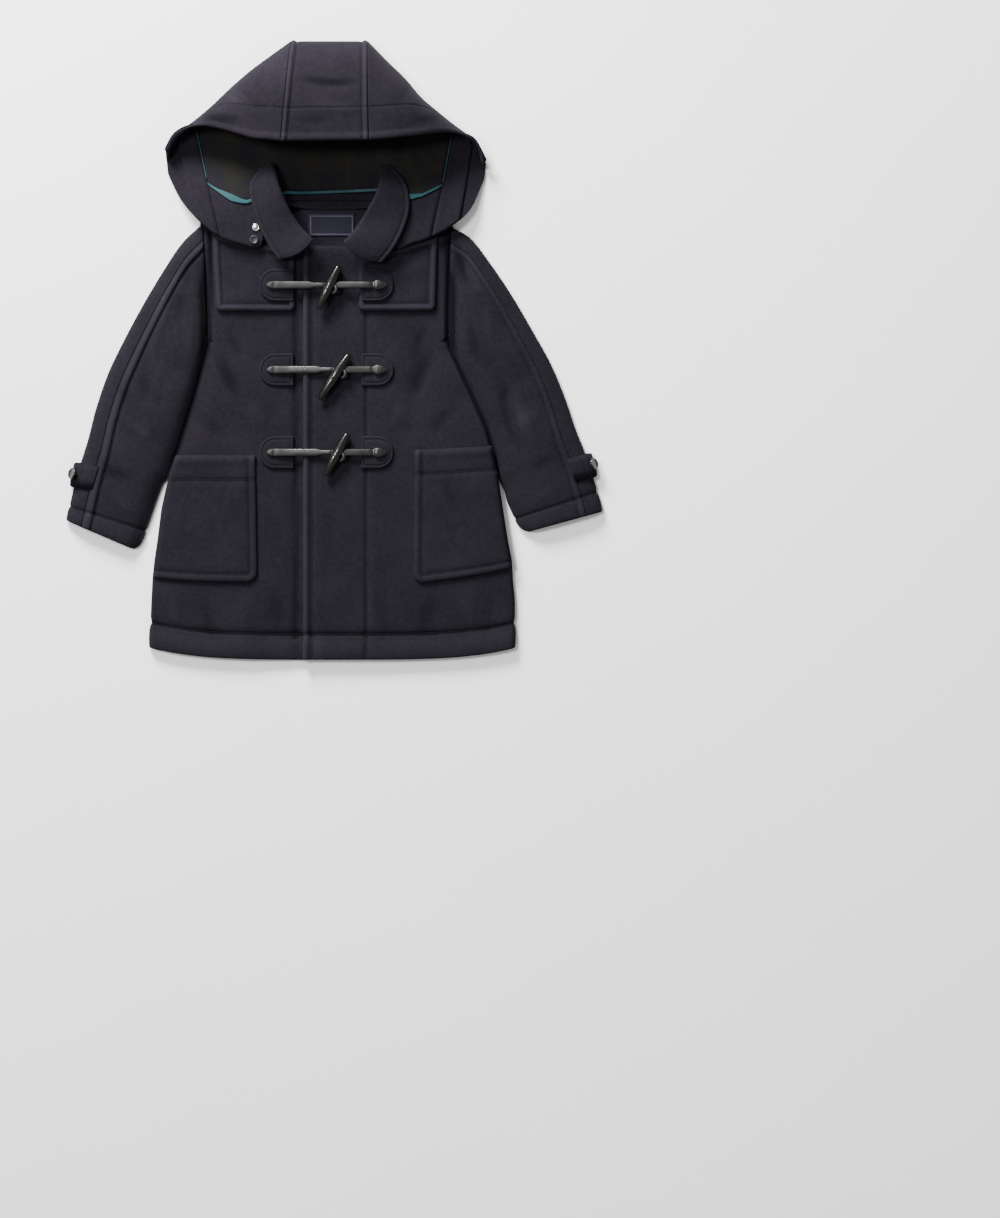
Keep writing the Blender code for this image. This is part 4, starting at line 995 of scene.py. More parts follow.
def seam_places(low, high, seams):
    """Rows of the fan from low to high, closer together beside a seam, over about 10 mm."""
    places = list(np.arange(math.ceil(low), math.floor(high) + 1))
    beside = np.array((0.0, 0.06, 0.14, 0.28, 0.46, 0.62, 0.76, 0.88, 1.0, 1.12, 1.26, 1.42, 1.6))
    if "first" in seams:
        places += list(low + beside)
    if "last" in seams:
        places += list(high - beside)
    return np.unique(np.clip(np.array(places + [low, high]), low, high).round(4))


COLUMNS_AHEAD = 67            # columns between the neck's edge and the facing


def brim_columns(grid):
    """The same rows, with columns at fixed distances from the brim, and the stitched column."""
    beside_stitch = FACING_STITCH_IN + np.array((-3, -1.6, -0.8, 0, 0.8, 1.6, 3, 6, 10))
    at = np.array((0, 0.3, 0.7, 1.3, 2.2, 3.4, 5, 6.6, 8, 9.2, 11, 14, 18, 22, 26, 30, *beside_stitch))
    kept = []
    for row, along in zip(grid, lengths_along(grid)):
        scale = min(1.0, along[-1] * 0.55 / at[-1])
        near_brim = along[-1] - at[::-1] * scale
        order = np.arange(len(row))
        ahead = np.linspace(0, np.interp(near_brim[0], along, order), COLUMNS_AHEAD + 1)[:-1]
        rest = np.interp(ahead, order, along)
        places = np.concatenate((rest, near_brim))
        kept.append(np.stack([np.interp(places, along, row[:, i]) for i in range(3)], axis=1))
    return np.array(kept), COLUMNS_AHEAD + len(at) - 1 - list(at).index(FACING_STITCH_IN)


def hood_outside():
    gap = 0.06
    pieces = (
        ("hood_side_near", 0, NEAR_SEAM, ("last",), False),
        ("hood_gusset", NEAR_SEAM + gap, FAR_SEAM - gap, ("first", "last"), True),
        ("hood_side_far", FAR_SEAM, len(FAN) - 1, ("first",), False),
    )
    for node, low, high, seams, lapped in pieces:
        base, stitched = brim_columns(rows_at(FAN, seam_places(low, high, seams)))
        relief = fan_relief(base, seams, lapped)
        piece = cloth_wall(f"{node}_panel", base, relief, WALL, WOOL)
        outer, normals = raised(base, relief)
        whole = lengths_along(base)[:, -1] * 0.55 > FACING_WIDTH + 6.0
        lines = [(outer[whole, stitched], normals[whole, stitched])]
        from_start = lengths_across(base)
        for apart in (from_start, from_start[-1:] - from_start) if lapped else ():
            rows = [int(np.argmin(np.abs(column - GUSSET_STITCH))) for column in apart.T]
            across = np.arange(base.shape[1])
            lines.append((outer[rows, across], normals[rows, across]))
        sewn = stitching(f"{node}_stitching", lines)
        declare_cloth(piece, base, ["floor"], [node], "wool")


hood_outside()

# ---------------------------------------------------------------- hood lining
# Checked cotton lines the crown. The brim, the front edges and the part over the shoulders are
# faced with melton. A satin tape covers the neck seam and pipes the ends of the lining.

THIN = 1.2
LAYER_GAP = 0.8
LINED_ROW, FACED_ROW, FLANGE_ROW = 5, 6.4, 1.6
FACED_COLUMN = 50             # the corner's facing ends at this point of a section
TAPE_WALL, TAPE_HALF, TAPE_TURNED = 1.0, 1.6, 3.0


def checked_cotton():
    """A soft dark check: green and navy ground, with thin red and ochre lines."""
    made, tree, shader = finish_of("lining_check", Roughness=0.9, Sheen_Weight=0.01,
                                   Specular_IOR_Level=0.03)
    where = Wire.node(tree, "ShaderNodeUVMap")
    split = Wire.node(tree, "ShaderNodeSeparateXYZ", None, {0: where})
    threads = []
    for name in ("X", "Y"):
        across = split.out(name)

        def band(repeat, start, width, across=across):
            place = (across / repeat + start).math("FRACT")
            return place.math("LESS_THAN", width / repeat)

        threads.append((band(0.044, 0.0, 0.022), band(0.044, 0.31, 0.0022), band(0.088, 0.12, 0.0014),
                        band(0.0012, 0.0, 0.0006)))
    (dark_x, red_x, ochre_x, warp), (dark_y, red_y, ochre_y, weft) = threads
    green, navy = (0.0084, 0.0088, 0.0074, 1.0), (0.0064, 0.0062, 0.0090, 1.0)
    ground = blend(tree, (dark_x + dark_y) * 0.5, green, navy)
    ground = blend(tree, (red_x + red_y) * 0.28, ground, (0.0230, 0.0080, 0.0080, 1.0))
    ground = blend(tree, (ochre_x + ochre_y) * 0.28, ground, (0.0230, 0.0180, 0.0110, 1.0))
    fuzz = noise(tree, in_object(tree), 900.0, 2.0, 0.6)
    feed(shader, "Base Color", blend(tree, fuzz * 0.5, ground, (0.0100, 0.0094, 0.0080, 1.0)))
    feed_bump(shader, 0.35, 0.0003, (warp + weft) * 0.5 + fuzz * 0.4)
    return made


def satin_tape():
    """Teal ribbon with fine ribs across it."""
    made, tree, shader = finish_of("tape_teal", Roughness=0.6, Sheen_Weight=0.02, Coat_Weight=0.03,
                                   Coat_Roughness=0.4, Specular_IOR_Level=0.15)
    where = in_object(tree)
    ribs = Wire.node(tree, "ShaderNodeTexWave", {"bands_direction": "DIAGONAL"},
                     {"Vector": where, "Scale": 380.0, "Distortion": 1.0, "Detail": 1.0})
    soft = noise(tree, where, 60.0, 2.0, 0.5)
    color = blend(tree, ribs * 0.4 + soft * 0.5, (0.003, 0.016, 0.020, 1.0), (0.007, 0.048, 0.058, 1.0))
    feed(shader, "Base Color", color)
    feed_bump(shader, 0.3, 0.0002, ribs)
    return made


CHECK, TAPE = checked_cotton(), satin_tape()
FAN_NORMALS = raised(FAN, np.zeros(FAN.shape[:2]))[1]
TAPE_ROWS = sorted([(NEAR_SEAM - k * FAN_STEPS, row[8]) for k, row in enumerate(HOOD["near"])]
                   + [(FAR_SEAM + k * FAN_STEPS, row[8]) for k, row in enumerate(HOOD["far"])])


def fan_place(hand, table_row):
    step = table_row * FAN_STEPS
    return NEAR_SEAM - step if hand == "near" else FAR_SEAM + step


def tape_distance(place):
    return np.interp(place, [row[0] for row in TAPE_ROWS], [row[1] for row in TAPE_ROWS])


def add_uv(piece, uv_mm):
    """UV in metres of cloth, for each face corner, from the millimetres of its point."""
    mesh = piece.data
    layer = mesh.uv_layers.new(name="cloth")
    corners = np.empty(len(mesh.loops), dtype=int)
    mesh.loops.foreach_get("vertex_index", corners)
    layer.data.foreach_set("uv", (np.asarray(uv_mm)[corners] * MM).ravel())


def turned_edges(points, part):
    return rolled(from_ends(part), 0.5)


def inside_strip(name, node, low, high, span, step, depth, thickness, finish, slot,
                 relief_of=turned_edges, last_column=None):
    """A layer inside the hood, by its places in the fan and its span along each section."""
    low, high = sorted((low, high))
    places = np.unique(np.concatenate(([low, high], np.arange(math.ceil(low), math.floor(high) + 1))))
    if high - low < 2:
        places = np.linspace(low, high, 3)
    points, normals = rows_at(FAN, places), rows_at(FAN_NORMALS, places)
    along = lengths_along(points)
    spans = [span(place, row[-1]) for place, row in zip(places, along)]
    count = int(max(end - start for start, end in spans) / step) + 2
    visible, hidden, inward, part = [], [], [], []
    for (start, end), row, spots, ways in zip(spans, along, points, normals):
        if last_column is not None:
            end = row[last_column]
        at = np.linspace(start, end, count)
        spot = np.stack([np.interp(at, row, spots[:, i]) for i in range(3)], axis=1)
        way = np.stack([np.interp(at, row, ways[:, i]) for i in range(3)], axis=1)
        way /= np.linalg.norm(way, axis=1, keepdims=True)
        visible.append(spot - way * (depth + thickness))
        hidden.append(spot - way * depth)
        inward.append(-way)
        part.append(at - start)
    visible, hidden, inward, part = (np.array(item) for item in (visible, hidden, inward, part))
    relief = relief_of(visible, part)
    shown = visible + inward * relief[..., None]
    ways = np.stack((part, lengths_across(visible)), axis=-1)
    shown, hidden, relief, ways = facing_out(visible, inward, shown, hidden, relief, ways)
    piece = mesh_wall(name, shown, hidden, finish, relief)
    add_uv(piece, np.tile(ways.reshape(-1, 2), (2, 1)))
    declare_cloth(piece, visible, ["hood_side_near_panel", "hood_side_far_panel"], [node], slot)


def lining_relief(points, part):
    """Loose cotton: low uneven waves, and a turned edge."""
    x, y = points[:, :, 0], points[:, :, 1]
    waves = 0.30 * np.sin(x / 11.0 + 1.7 * np.sin(y / 23.0)) + 0.22 * np.sin(y / 8.0 + x / 31.0)
    return waves + rolled(from_ends(part), 0.8)


def tape_span(place, length):
    """The tape is sewn on a little aslant, and turns over to its full width beside the collar."""
    middle = tape_distance(place) + 2.0 * np.clip((place - NEAR_SEAM) / GUSSET_STEPS - 0.5, -0.8, 0.8)
    near_turn = bell(place - fan_place("near", 4.0), 1.9)
    far_turn = 0.5 * bell(place - fan_place("far", 3.3), 1.9)
    half = TAPE_HALF + TAPE_TURNED * (near_turn + far_turn)
    return middle - half, middle + half


def hood_inside():
    near_end, far_end = fan_place("near", LINED_ROW), fan_place("far", LINED_ROW)
    first = WALL + LAYER_GAP
    second = first + THIN + LAYER_GAP
    inside_strip("hood_lining_cotton", "hood_lining", near_end, far_end,
                 lambda place, length: (tape_distance(place), length - FACING_WIDTH - 0.5),
                 3.5, first, THIN, CHECK, "lining", lining_relief)
    inside_strip("hood_facing_brim_band", "hood_facing_brim", near_end, far_end,
                 lambda place, length: (length - FACING_WIDTH, length - 1.0),
                 2.0, first, THIN, WOOL, "wool")
    inside_strip("hood_neck_tape", "hood_tape", near_end, far_end,
                 tape_span, 0.7, second, TAPE_WALL, TAPE, "tape")
    for hand, side in (("near", -1), ("far", 1)):
        edge = fan_place(hand, LINED_ROW)
        inside_strip(f"hood_facing_band_{hand}", f"hood_facing_{hand}",
                     edge + side * 0.1, fan_place(hand, FACED_ROW),
                     lambda place, length: (1.0, length), 2.5, first, THIN, WOOL, "wool",
                     last_column=FACED_COLUMN)
        inside_strip(f"hood_flange_band_{hand}", f"hood_flange_{hand}",
                     edge, fan_place(hand, FLANGE_ROW),
                     lambda place, length: (1.0, tape_distance(place) - 0.5),
                     2.5, first, THIN, WOOL, "wool")
        inside_strip(f"hood_lining_piping_{hand}", f"hood_piping_{hand}",
                     edge - side * 0.10, edge + side * 0.10,
                     lambda place, length: (tape_distance(place) + 4.5, length - FACING_WIDTH),
                     2.0, second, TAPE_WALL, TAPE, "tape")


hood_inside()

# -------------------------------------------------------------------- collar
# Two leaves of melton that roll over on the neck seam and lie open on the shoulders, with a
# turned and topstitched edge, and the stand that joins them across the back neck.

# fold, outer edge, rise of the roll, bow of the leaf
COLLAR = {
    "near": (
        (-21, 123, -60, 102, 7, 6),
        (-37, 140, -72, 119, 11, 2),
        (-48, 158, -84, 147, 13, 0),
        (-56, 176, -92, 180, 12, 0),
        (-61, 193, -84, 197, 8, 0),
        (-65, 208, -74, 210, 4, 0),
    ),
    "far": (
        (12, 121, 54, 98.5, 7, 7),
        (23.5, 134, 70, 118, 11, 2),
        (34, 150, 83, 149, 13, 0),
        (45.5, 170, 84, 172, 12, 0),
        (51, 188, 77, 191, 8, 0),
        (50, 204, 61, 207, 4, 0),
    ),
}
COLLAR_OVER_FRONT = 23.5
COLLAR_WALL, COLLAR_ROLL, COLLAR_CLEAR = 2.4, 3.6, 0.3
COLLAR_STITCH = 5.0
COLLAR_ENDING = (8.0, 6.2, 5.0, 4.0, 3.0, 2.0, 1.4, 1.0, 0.6, 0.3, 0.0)    # columns by the edge


def collar_bed(x, y):
    over_hood = float(hood_bed(x, y)) + WALL + 2 * THIN + 2 * LAYER_GAP + COLLAR_CLEAR
    return over_hood + (COLLAR_OVER_FRONT - over_hood) * (1 - float(smoothstep(118, 150, y)))


def collar_section(row):
    """A leaf at one place: up the stand, round the roll and down the fall."""
    fold, edge, rise, bow = row[0:2], row[2:4], row[4], row[5]
    width = float(np.linalg.norm(edge - fold))
    outward = (edge - fold) / width
    forward = np.array((-outward[1], outward[0]))
    forward *= -1 if forward[1] > 0 else 1
    crest = collar_bed(*fold) + COLLAR_ROLL + rise
    stand_depth = max(0.42 * width, COLLAR_ROLL + 2.5)

    def point(depth, height):
        share = min(max(depth / width, 0), 1)
        x, y = fold + outward * depth + forward * bow * 4 * share * (1 - share)
        return (x, y, height)

    low, high = collar_bed(*(fold + outward * stand_depth)) + 0.2, crest - COLLAR_ROLL
    points = [point(stand_depth + (COLLAR_ROLL - stand_depth) * share, low + (high - low) * share)
              for share in np.linspace(0, 1, 7)[:-1]]
    for angle in np.linspace(-math.pi / 2, math.pi / 2, 13):
        points.append(point(COLLAR_ROLL * (1 - math.cos(angle)), crest + COLLAR_ROLL * math.sin(angle)))
    low, high = collar_bed(*edge) + COLLAR_WALL + 0.2, crest + COLLAR_ROLL
    fall = width - COLLAR_ROLL
    ending = np.minimum(COLLAR_ENDING, fall * 0.9)
    from_edge = np.concatenate((np.linspace(max(fall, 9.0), 9.0, 13)[1:], ending))
    for apart in np.minimum(from_edge, fall):
        share = 1 - apart / fall
        points.append(point(COLLAR_ROLL + fall * share, high + (low - high) * share ** 1.5))
    return points


def collar():
    for hand in COLLAR:
        places = spread(0.0, 5.0, 0.09, (0.0, 5.0), 0.012, 0.06)
        places = np.unique(np.concatenate((places, 0.012 * np.arange(5), 5 - 0.012 * np.arange(5))))
        base = np.array([collar_section(row) for row in spline(COLLAR[hand], places)])
        along = lengths_along(base)
        to_edge = along[:, -1:] - along
        to_front = lengths_across(base)
        relief = rolled(to_edge, 1.2) + rolled(to_front, 1.2) + rolled(to_front[-1:] - to_front, 1.0)
        for apart in (to_edge, to_front):
            relief += groove(apart, COLLAR_STITCH, 0.81, 0.9) + padded_edge(apart, COLLAR_STITCH, 0.84)
        piece = cloth_wall(f"collar_leaf_{hand}", base, relief, COLLAR_WALL, WOOL)
        outer, normals = raised(base, relief)
        column = [int(np.argmin(np.abs(row - COLLAR_STITCH))) for row in to_edge]
        rows = np.arange(len(base))
        sewn = stitching(f"collar_stitching_{hand}", [(outer[rows, column], normals[rows, column])])
        declare_cloth(piece, base, ["hood_neck_tape"], [f"collar_{hand}"], "wool")


collar()

# ---------------------------------------------------------------- neck inside
# Across the back neck the collar stand is sewn in. Below it a faced panel holds a plain woven
# label, sewn down at both ends.

STAND_HALF, STAND_TOP_Y = 52.0, 171.5
FACING_HALF, FACING_LOW_Y = 44.0, 100.0
NECK_ALLOWANCE = 0.9
BORDER_IN, BORDER_HALF = 0.0028, 0.0007    # the label's border line, in metres
LABEL_X, LABEL_Y = (-27.5, 24.0), (127.5, 153.0)
LABEL_THICKNESS = 0.6


def woven_label():
    """Navy satin label with a paler border line, and nothing written on it."""
    made, tree, shader = finish_of("label_navy", Roughness=0.7, Sheen_Weight=0.02,
                                   Specular_IOR_Level=0.12)
    where = in_object(tree)
    split = Wire.node(tree, "ShaderNodeSeparateXYZ", None, {0: where})
    middle = ((np.array((sum(LABEL_X) / 2, sum(LABEL_Y) / 2)) + HOME[:2]) * MM).tolist()
    half = (np.array((LABEL_X[1] - LABEL_X[0], LABEL_Y[1] - LABEL_Y[0])) / 2 * MM).tolist()
    from_x = (split.out("X") - middle[0]).math("ABSOLUTE")
    from_y = (split.out("Y") - middle[1]).math("ABSOLUTE")
    inset = (half[0] - from_x).math("MINIMUM", half[1] - from_y)
    line = (inset - BORDER_IN).math("ABSOLUTE").math("LESS_THAN", BORDER_HALF)
    weave = Wire.node(tree, "ShaderNodeTexWave", {"bands_direction": "Y"},
                      {"Vector": where, "Scale": 500.0, "Distortion": 0.4})
    ground = blend(tree, weave * 0.6, (0.0032, 0.0030, 0.0070, 1.0), (0.0070, 0.0066, 0.0140, 1.0))
    feed(shader, "Base Color", blend(tree, line * 0.7, ground, (0.040, 0.037, 0.056, 1.0)))
    feed_bump(shader, 0.25, 0.0002, weave)
    return made


def neck_allowance(name, line_y, below, above):
    """Seam allowances along the neck, pressed flat over a seam line given by its level at x."""
    x = np.linspace(-STAND_HALF + 1, STAND_HALF - 1, 53)[:, None]
    y = line_y(np.abs(x)) + np.linspace(-below, above, 6)[None, :]
    x = x + 0 * y
    grid = np.stack((x, y, hood_bed(x, y) + WALL + 1.0), axis=-1)
    relief = rolled(from_ends(lengths_along(grid)), 0.8)
    declare(cloth_wall(name, grid, relief, NECK_ALLOWANCE, WOOL), "wool")


def neck_inside():
    neck_allowance("neck_allowance_hood", lambda x: 172.2 - 2.0 * (x / STAND_HALF) ** 4, 5.0, 3.5)
    neck_allowance("neck_allowance_back", back_neck_y, 0.8, 3.5)
    base = []
    for x in np.linspace(-STAND_HALF, STAND_HALF, 53):
        low = back_neck_y(x) + 0.8
        high = STAND_TOP_Y - 3.0 * (abs(x) / STAND_HALF) ** 4
        y = low + (high - low) * np.linspace(0, 1, 9)
        level = np.full_like(y, float(hood_bed(x, low)) + WALL)
        base.append(np.stack((np.full_like(y, x), y, level), axis=1))
    base = np.array(base)
    relief = rolled(from_ends(lengths_along(base)), 1.2)
    stand = cloth_wall("collar_stand_band", base, relief, WALL, WOOL)
    declare_cloth(stand, base, ["back_panel"], ["collar_stand"], "wool")

    base = []
    for x in np.linspace(-FACING_HALF, FACING_HALF, 45):
        y = np.linspace(back_neck_y(x) - 1.0, FACING_LOW_Y, 30)
        base.append(np.stack((np.full_like(y, x), y, np.full_like(y, WALL + SEAM + THIN)), axis=1))
    base = np.array(base)
    relief = rolled(from_ends(lengths_along(base)), 0.9)
    facing = cloth_wall("neck_facing_panel", base, relief, THIN, WOOL)
    declare_cloth(facing, base, ["back_panel"], ["neck_facing"], "wool")

    level = WALL + 2 * SEAM + THIN + LABEL_THICKNESS
    x, y = np.meshgrid(np.linspace(*LABEL_X, 40), np.linspace(*LABEL_Y, 22), indexing="ij")
    base = np.stack((x, y, np.full_like(x, level)), axis=2)
    apart = np.minimum(np.minimum(x - LABEL_X[0], LABEL_X[1] - x),
                       np.minimum(y - LABEL_Y[0], LABEL_Y[1] - y))
    relief = rolled(apart, 0.4) + 0.25 * np.sin(x / 9.0) * smoothstep(1, 5, apart)
    tag = cloth_wall("neck_label_tag", base, relief, LABEL_THICKNESS, woven_label())
    declare_cloth(tag, base, ["neck_facing_panel"], ["neck_label"], "label")


neck_inside()

# ------------------------------------------------------------ shoulder flaps
# A second layer of melton over each shoulder against the rain. It runs from under the hood
# across the chest, with round lower corners, and is topstitched a finger's width inside.

# level, outer edge and inner edge, low down and higher up; then the levels of the top edge
FLAP = {
    "near": ((44.6, -128.7, -41.0), (129.0, -133.5, -41.0), (132.0, 112.0)),
    "far": ((45.0, 113.3, 27.5), (118.0, 115.5, 28.5), (129.0, 104.0)),
}
FLAP_WALL, FLAP_CORNER, FLAP_STITCH = 2.8, 7.0, 8.5
SQUARE_CORNER = 0.6


def lifted(ground, u, v, height):
    """Points over a ground, moved out along its normals, and those normals."""
    u, v = np.broadcast_arrays(np.asarray(u, dtype=float), np.asarray(v, dtype=float))
    step = 0.3                            # to both sides, for the slopes of the ground
    along_u = ground(u + step, v) - ground(u - step, v)
    along_v = ground(u, v + step) - ground(u, v - step)
    normal = np.cross(along_u, along_v)
    normal /= np.maximum(np.linalg.norm(normal, axis=-1, keepdims=True), 1e-9)
    normal = -normal if np.nansum(normal[..., 2]) < 0 else normal
    return ground(u, v) + normal * np.asarray(height)[..., None], normal


def outline(corners, radii, inset, side_steps=10, corner_steps=7):
    """A polygon with round corners, moved in by inset. Corners run anticlockwise."""
    corners = np.array(corners, dtype=float)
    count = len(corners)
    runs_on = np.roll(corners, -1, axis=0) - corners
    runs_on /= np.linalg.norm(runs_on, axis=1, keepdims=True)
    inward = np.column_stack((-runs_on[:, 1], runs_on[:, 0]))
    arcs = []
    for k in range(count):
        before, after = inward[k - 1], inward[k]
        moved = corners[k] + inset * (before + after) / (1 + before @ after)
        a, b = -runs_on[k - 1], runs_on[k]
        half = math.acos(np.clip(a @ b, -1, 1)) / 2
        radius = max(radii[k] - inset, 0.25)
        reach = radius / math.tan(half)
        middle = moved + (a + b) / np.linalg.norm(a + b) * radius / math.sin(half)
        start, end = moved + a * reach - middle, moved + b * reach - middle
        turn = math.atan2(start[0] * end[1] - start[1] * end[0], start @ end)
        angles = np.linspace(0, turn, corner_steps)
        arc = [(middle[0] + start[0] * math.cos(t) - start[1] * math.sin(t),
                middle[1] + start[0] * math.sin(t) + start[1] * math.cos(t)) for t in angles]
        arcs.append(np.array(arc))
    points = []
    for arc, following in zip(arcs, arcs[1:] + arcs[:1]):
        side = arc[-1] + (following[0] - arc[-1]) * np.linspace(0, 1, side_steps + 1)[1:-1, None]
        points += [arc, side]
    return np.concatenate(points)


def sewn_on(name, node, corners, radii, ground, gap, wall, stitch_at, depth, finish, slot,
            puff, steps, waves=(), sink=0.6):
    """A layer of cloth sewn onto a ground: rings from its outline to its middle."""
    insets = [0.0, 0.15, 0.4, 0.8, 1.3]
    insets += list(np.linspace(1.3, stitch_at - 1.5, max(2, int(stitch_at / 1.6)))[1:])
    insets += [stitch_at + beside for beside in (-0.8, -0.35, 0.0, 0.35, 0.8, 1.6)]
    insets = [inset for k, inset in enumerate(insets) if k == 0 or inset > insets[k - 1] + 0.05]
    rings = [outline(corners, radii, inset, *steps) for inset in insets]
    last, middle = rings[-1], rings[-1].mean(axis=0)
    for share in np.linspace(0, 0.96, 1 + int(np.ptp(last, axis=0).min() / 2 / depth))[1:]:
        rings.append(last + (middle - last) * share)
    rings = np.array(rings)
    apart = np.full(rings.shape[:2], 99.0)
    apart[:len(insets)] = np.array(insets)[:, None]
    relief = rolled(apart, wall * 0.8) + groove(apart, stitch_at, sink, stitch_at * 0.25)
    relief += padded_edge(apart, stitch_at, puff)
    x, y = rings[:, :, 0], rings[:, :, 1]
    relief += creases(x, y, waves)
    sunk = gap + pressed(apart, gap)
    outer, normals = lifted(ground, x, y, sunk + wall + relief)
    inner = lifted(ground, x, y, sunk)[0]
    row = insets.index(stitch_at)
    line, ways = (np.concatenate((grid[row], grid[row, :1])) for grid in (outer, normals))
    looped = np.concatenate((outer, outer[:, :1]), axis=1)
    looped_ways = np.concatenate((normals, normals[:, :1]), axis=1)
    outer, inner, relief = facing_out(looped, looped_ways, outer, inner, relief)
    piece = mesh_wall(name, outer, inner, finish, relief, closed=True, cap=True)
    sewn = stitching(name + "_stitching", [(line, ways)])
    declare(piece, slot, node)
    x, y = rings[0].T
    area = 0.5 * abs(float(np.sum(x * np.roll(y, -1) - y * np.roll(x, -1)))) * MM * MM


def front_ground(hand, lift=0.0):
    def ground(x, y):
        return np.stack((x, y, front_height(hand, x, y) + lift), axis=-1)
    return ground


FLAP_CREASES = {
    "near": ((-120, 118, -70, 92, -0.6, 8), (-126, 70, -96, 52, 0.5, 8), (-60, 112, -50, 60, -0.5, 7)),
    "far": ((108, 112, 66, 90, -0.6, 8), (108, 70, 84, 52, 0.5, 8), (44, 100, 38, 60, -0.4, 7)),
}


def shoulder_flaps():
    for hand in FLAP:
        (low, low_out, low_in), (high, high_out, high_in), (top_out, top_in) = FLAP[hand]
        corners = [(low_out, low), (low_in, low), (high_in, top_in), (high_out, top_out)]
        radii = [FLAP_CORNER, FLAP_CORNER, SQUARE_CORNER, SQUARE_CORNER]
        if hand == "far":
            corners, radii = corners[::-1], radii[::-1]
        sewn_on(f"shoulder_flap_cloth_{hand}", f"shoulder_flap_{hand}", corners, radii, front_ground(hand),
                LAYER_GAP, FLAP_WALL, FLAP_STITCH, 3.0, WOOL, "wool", 1.45,
                (22, 9), FLAP_CREASES[hand])


shoulder_flaps()

# ------------------------------------------------------------------- pockets
# Patch pockets of melton, open at the top, where a hem is turned in and stitched. Their outer
# edge goes a little way round the side, and the other edges are turned in and topstitched.

# level inside, level at the side, inner edge: at the top and at the bottom
POCKET = {
    "near": ((-112.8, -112.8, -85.0), (-245.5, -247.7, -82.7)),
    "far": ((-107.3, -103.0, 89.5), (-247.5, -237.5, 88.0)),
}
POCKET_WALL, POCKET_CORNER, POCKET_START = 2.6, 12.0, 5.0
POCKET_STITCH, POCKET_HEM, POCKET_RIDGE = 8.0, 27.0, 1.1
POCKET_KEPT, POCKET_END = 40.0, 100.0     # true distances from the inner edge, and where they end
POCKET_CREASES = {
    "near": ((30, 20, 50, 120, -0.5, 9), (70, 30, 84, 110, 0.5, 8), (20, 60, 60, 70, 0.4, 9)),
    "far": ((34, 26, 44, 116, -0.6, 9), (74, 34, 80, 118, 0.4, 8), (18, 74, 66, 82, 0.4, 9)),
}


def from_round_corner(from_side, from_end, radius):
    """Distance from the nearer of two edges that meet in a round corner."""
    in_corner = (from_side < radius) & (from_end < radius)
    round_corner = radius - np.hypot(radius - from_side, radius - from_end)
    return np.maximum(np.where(in_corner, round_corner, np.minimum(from_side, from_end)), 0.0)


def pocket(hand):
    (top_y, top_side, top_inner), (low_y, low_side, low_inner) = POCKET[hand]
    height = abs(low_y - top_y)

    def ground(from_inner, down):
        """The front, by the distance from the pocket's inner edge, as a share of the width where
        it is past the kept ones, and the share of the way down."""
        y = top_y + (low_y - top_y) * down
        reach = np.abs(top_inner + (low_inner - top_inner) * down - side_x(hand, y)) + 2.7
        spare = (reach - POCKET_KEPT - POCKET_START) / (POCKET_END - POCKET_KEPT)
        beyond = reach - POCKET_KEPT - (from_inner - POCKET_KEPT) * spare
        way = np.where(from_inner < POCKET_KEPT, reach - from_inner, beyond)
        share = 1 - (way - POCKET_START) / (reach - POCKET_START)
        rise = (top_side - top_y) * share * (1 - down) + (low_side - low_y) * share * down
        return front_point(hand, way, y + rise)

    def relief_at(u, v):
        apart = from_round_corner(height - v, u, POCKET_CORNER)
        total = rolled(apart, 2.4) + groove(apart, POCKET_STITCH + 0.8, 0.75, 2.8)
        total += padded_edge(apart, POCKET_STITCH, 0.6) + rolled(v, 1.8)
        total += groove(v, POCKET_HEM, 0.75, 2.8) + POCKET_RIDGE * bell(v - 4.5, 4.5)
        return total + creases(u, v, POCKET_CREASES[hand])

    def on_top(u, v):
        return lifted(ground, u, v / height, LAYER_GAP + POCKET_WALL + relief_at(u, v))

    u = spread(0.0, POCKET_END, 4.0, (0.0, POCKET_STITCH))
    v = spread(0.0, height, 4.0, (0.0, POCKET_HEM, height - POCKET_STITCH, height))
    u, v = np.meshgrid(u, v, indexing="ij")
    # the corner is cut round: its points are drawn in along the row
    v = v - corner_cut(u, POCKET_CORNER) * smoothstep(height - 3 * POCKET_CORNER, height, v)
    relief = relief_at(u, v)
    sunk = LAYER_GAP + pressed(from_round_corner(height - v, u, POCKET_CORNER), LAYER_GAP)
    outer, normals = lifted(ground, u, v / height, sunk + POCKET_WALL + relief)
    inner = lifted(ground, u, v / height, sunk)[0]
    base = lifted(ground, u, v / height, np.full_like(relief, LAYER_GAP + POCKET_WALL))[0]
    outer, inner, relief = facing_out(outer, normals, outer, inner, relief)
    piece = mesh_wall(f"pocket_cloth_{hand}", outer, inner, WOOL, relief)
    turn = np.linspace(0, math.pi / 2, 8)
    inside = POCKET_STITCH + 1.0
    line_u = np.concatenate((np.full(30, POCKET_STITCH), inside - np.cos(turn),
                             np.linspace(inside, POCKET_END - 1, 30)))
    line_v = np.concatenate((np.linspace(1.0, height - inside, 30), height - inside + np.sin(turn),
                             np.full(30, height - POCKET_STITCH)))
    hem_u = np.linspace(1.0, POCKET_END - 1, 40)
    lines = [on_top(line_u, line_v), on_top(hem_u, np.full(40, POCKET_HEM))]
    sewn = stitching(f"pocket_stitching_{hand}", lines)
    declare_cloth(piece, base, [f"front_panel_{hand}"], [f"pocket_{hand}"], "wool")


for hand in POCKET:
    pocket(hand)

# ---------------------------------------------------------- toggle fastenings
# Three pairs of cloth patches, straight beside the front edge and round away from it. On each
# lies a leather strap, sewn down at its pointed end. The right-hand one is a loop, and the
# left-hand one carries a peg of polished horn, which goes through the loop.

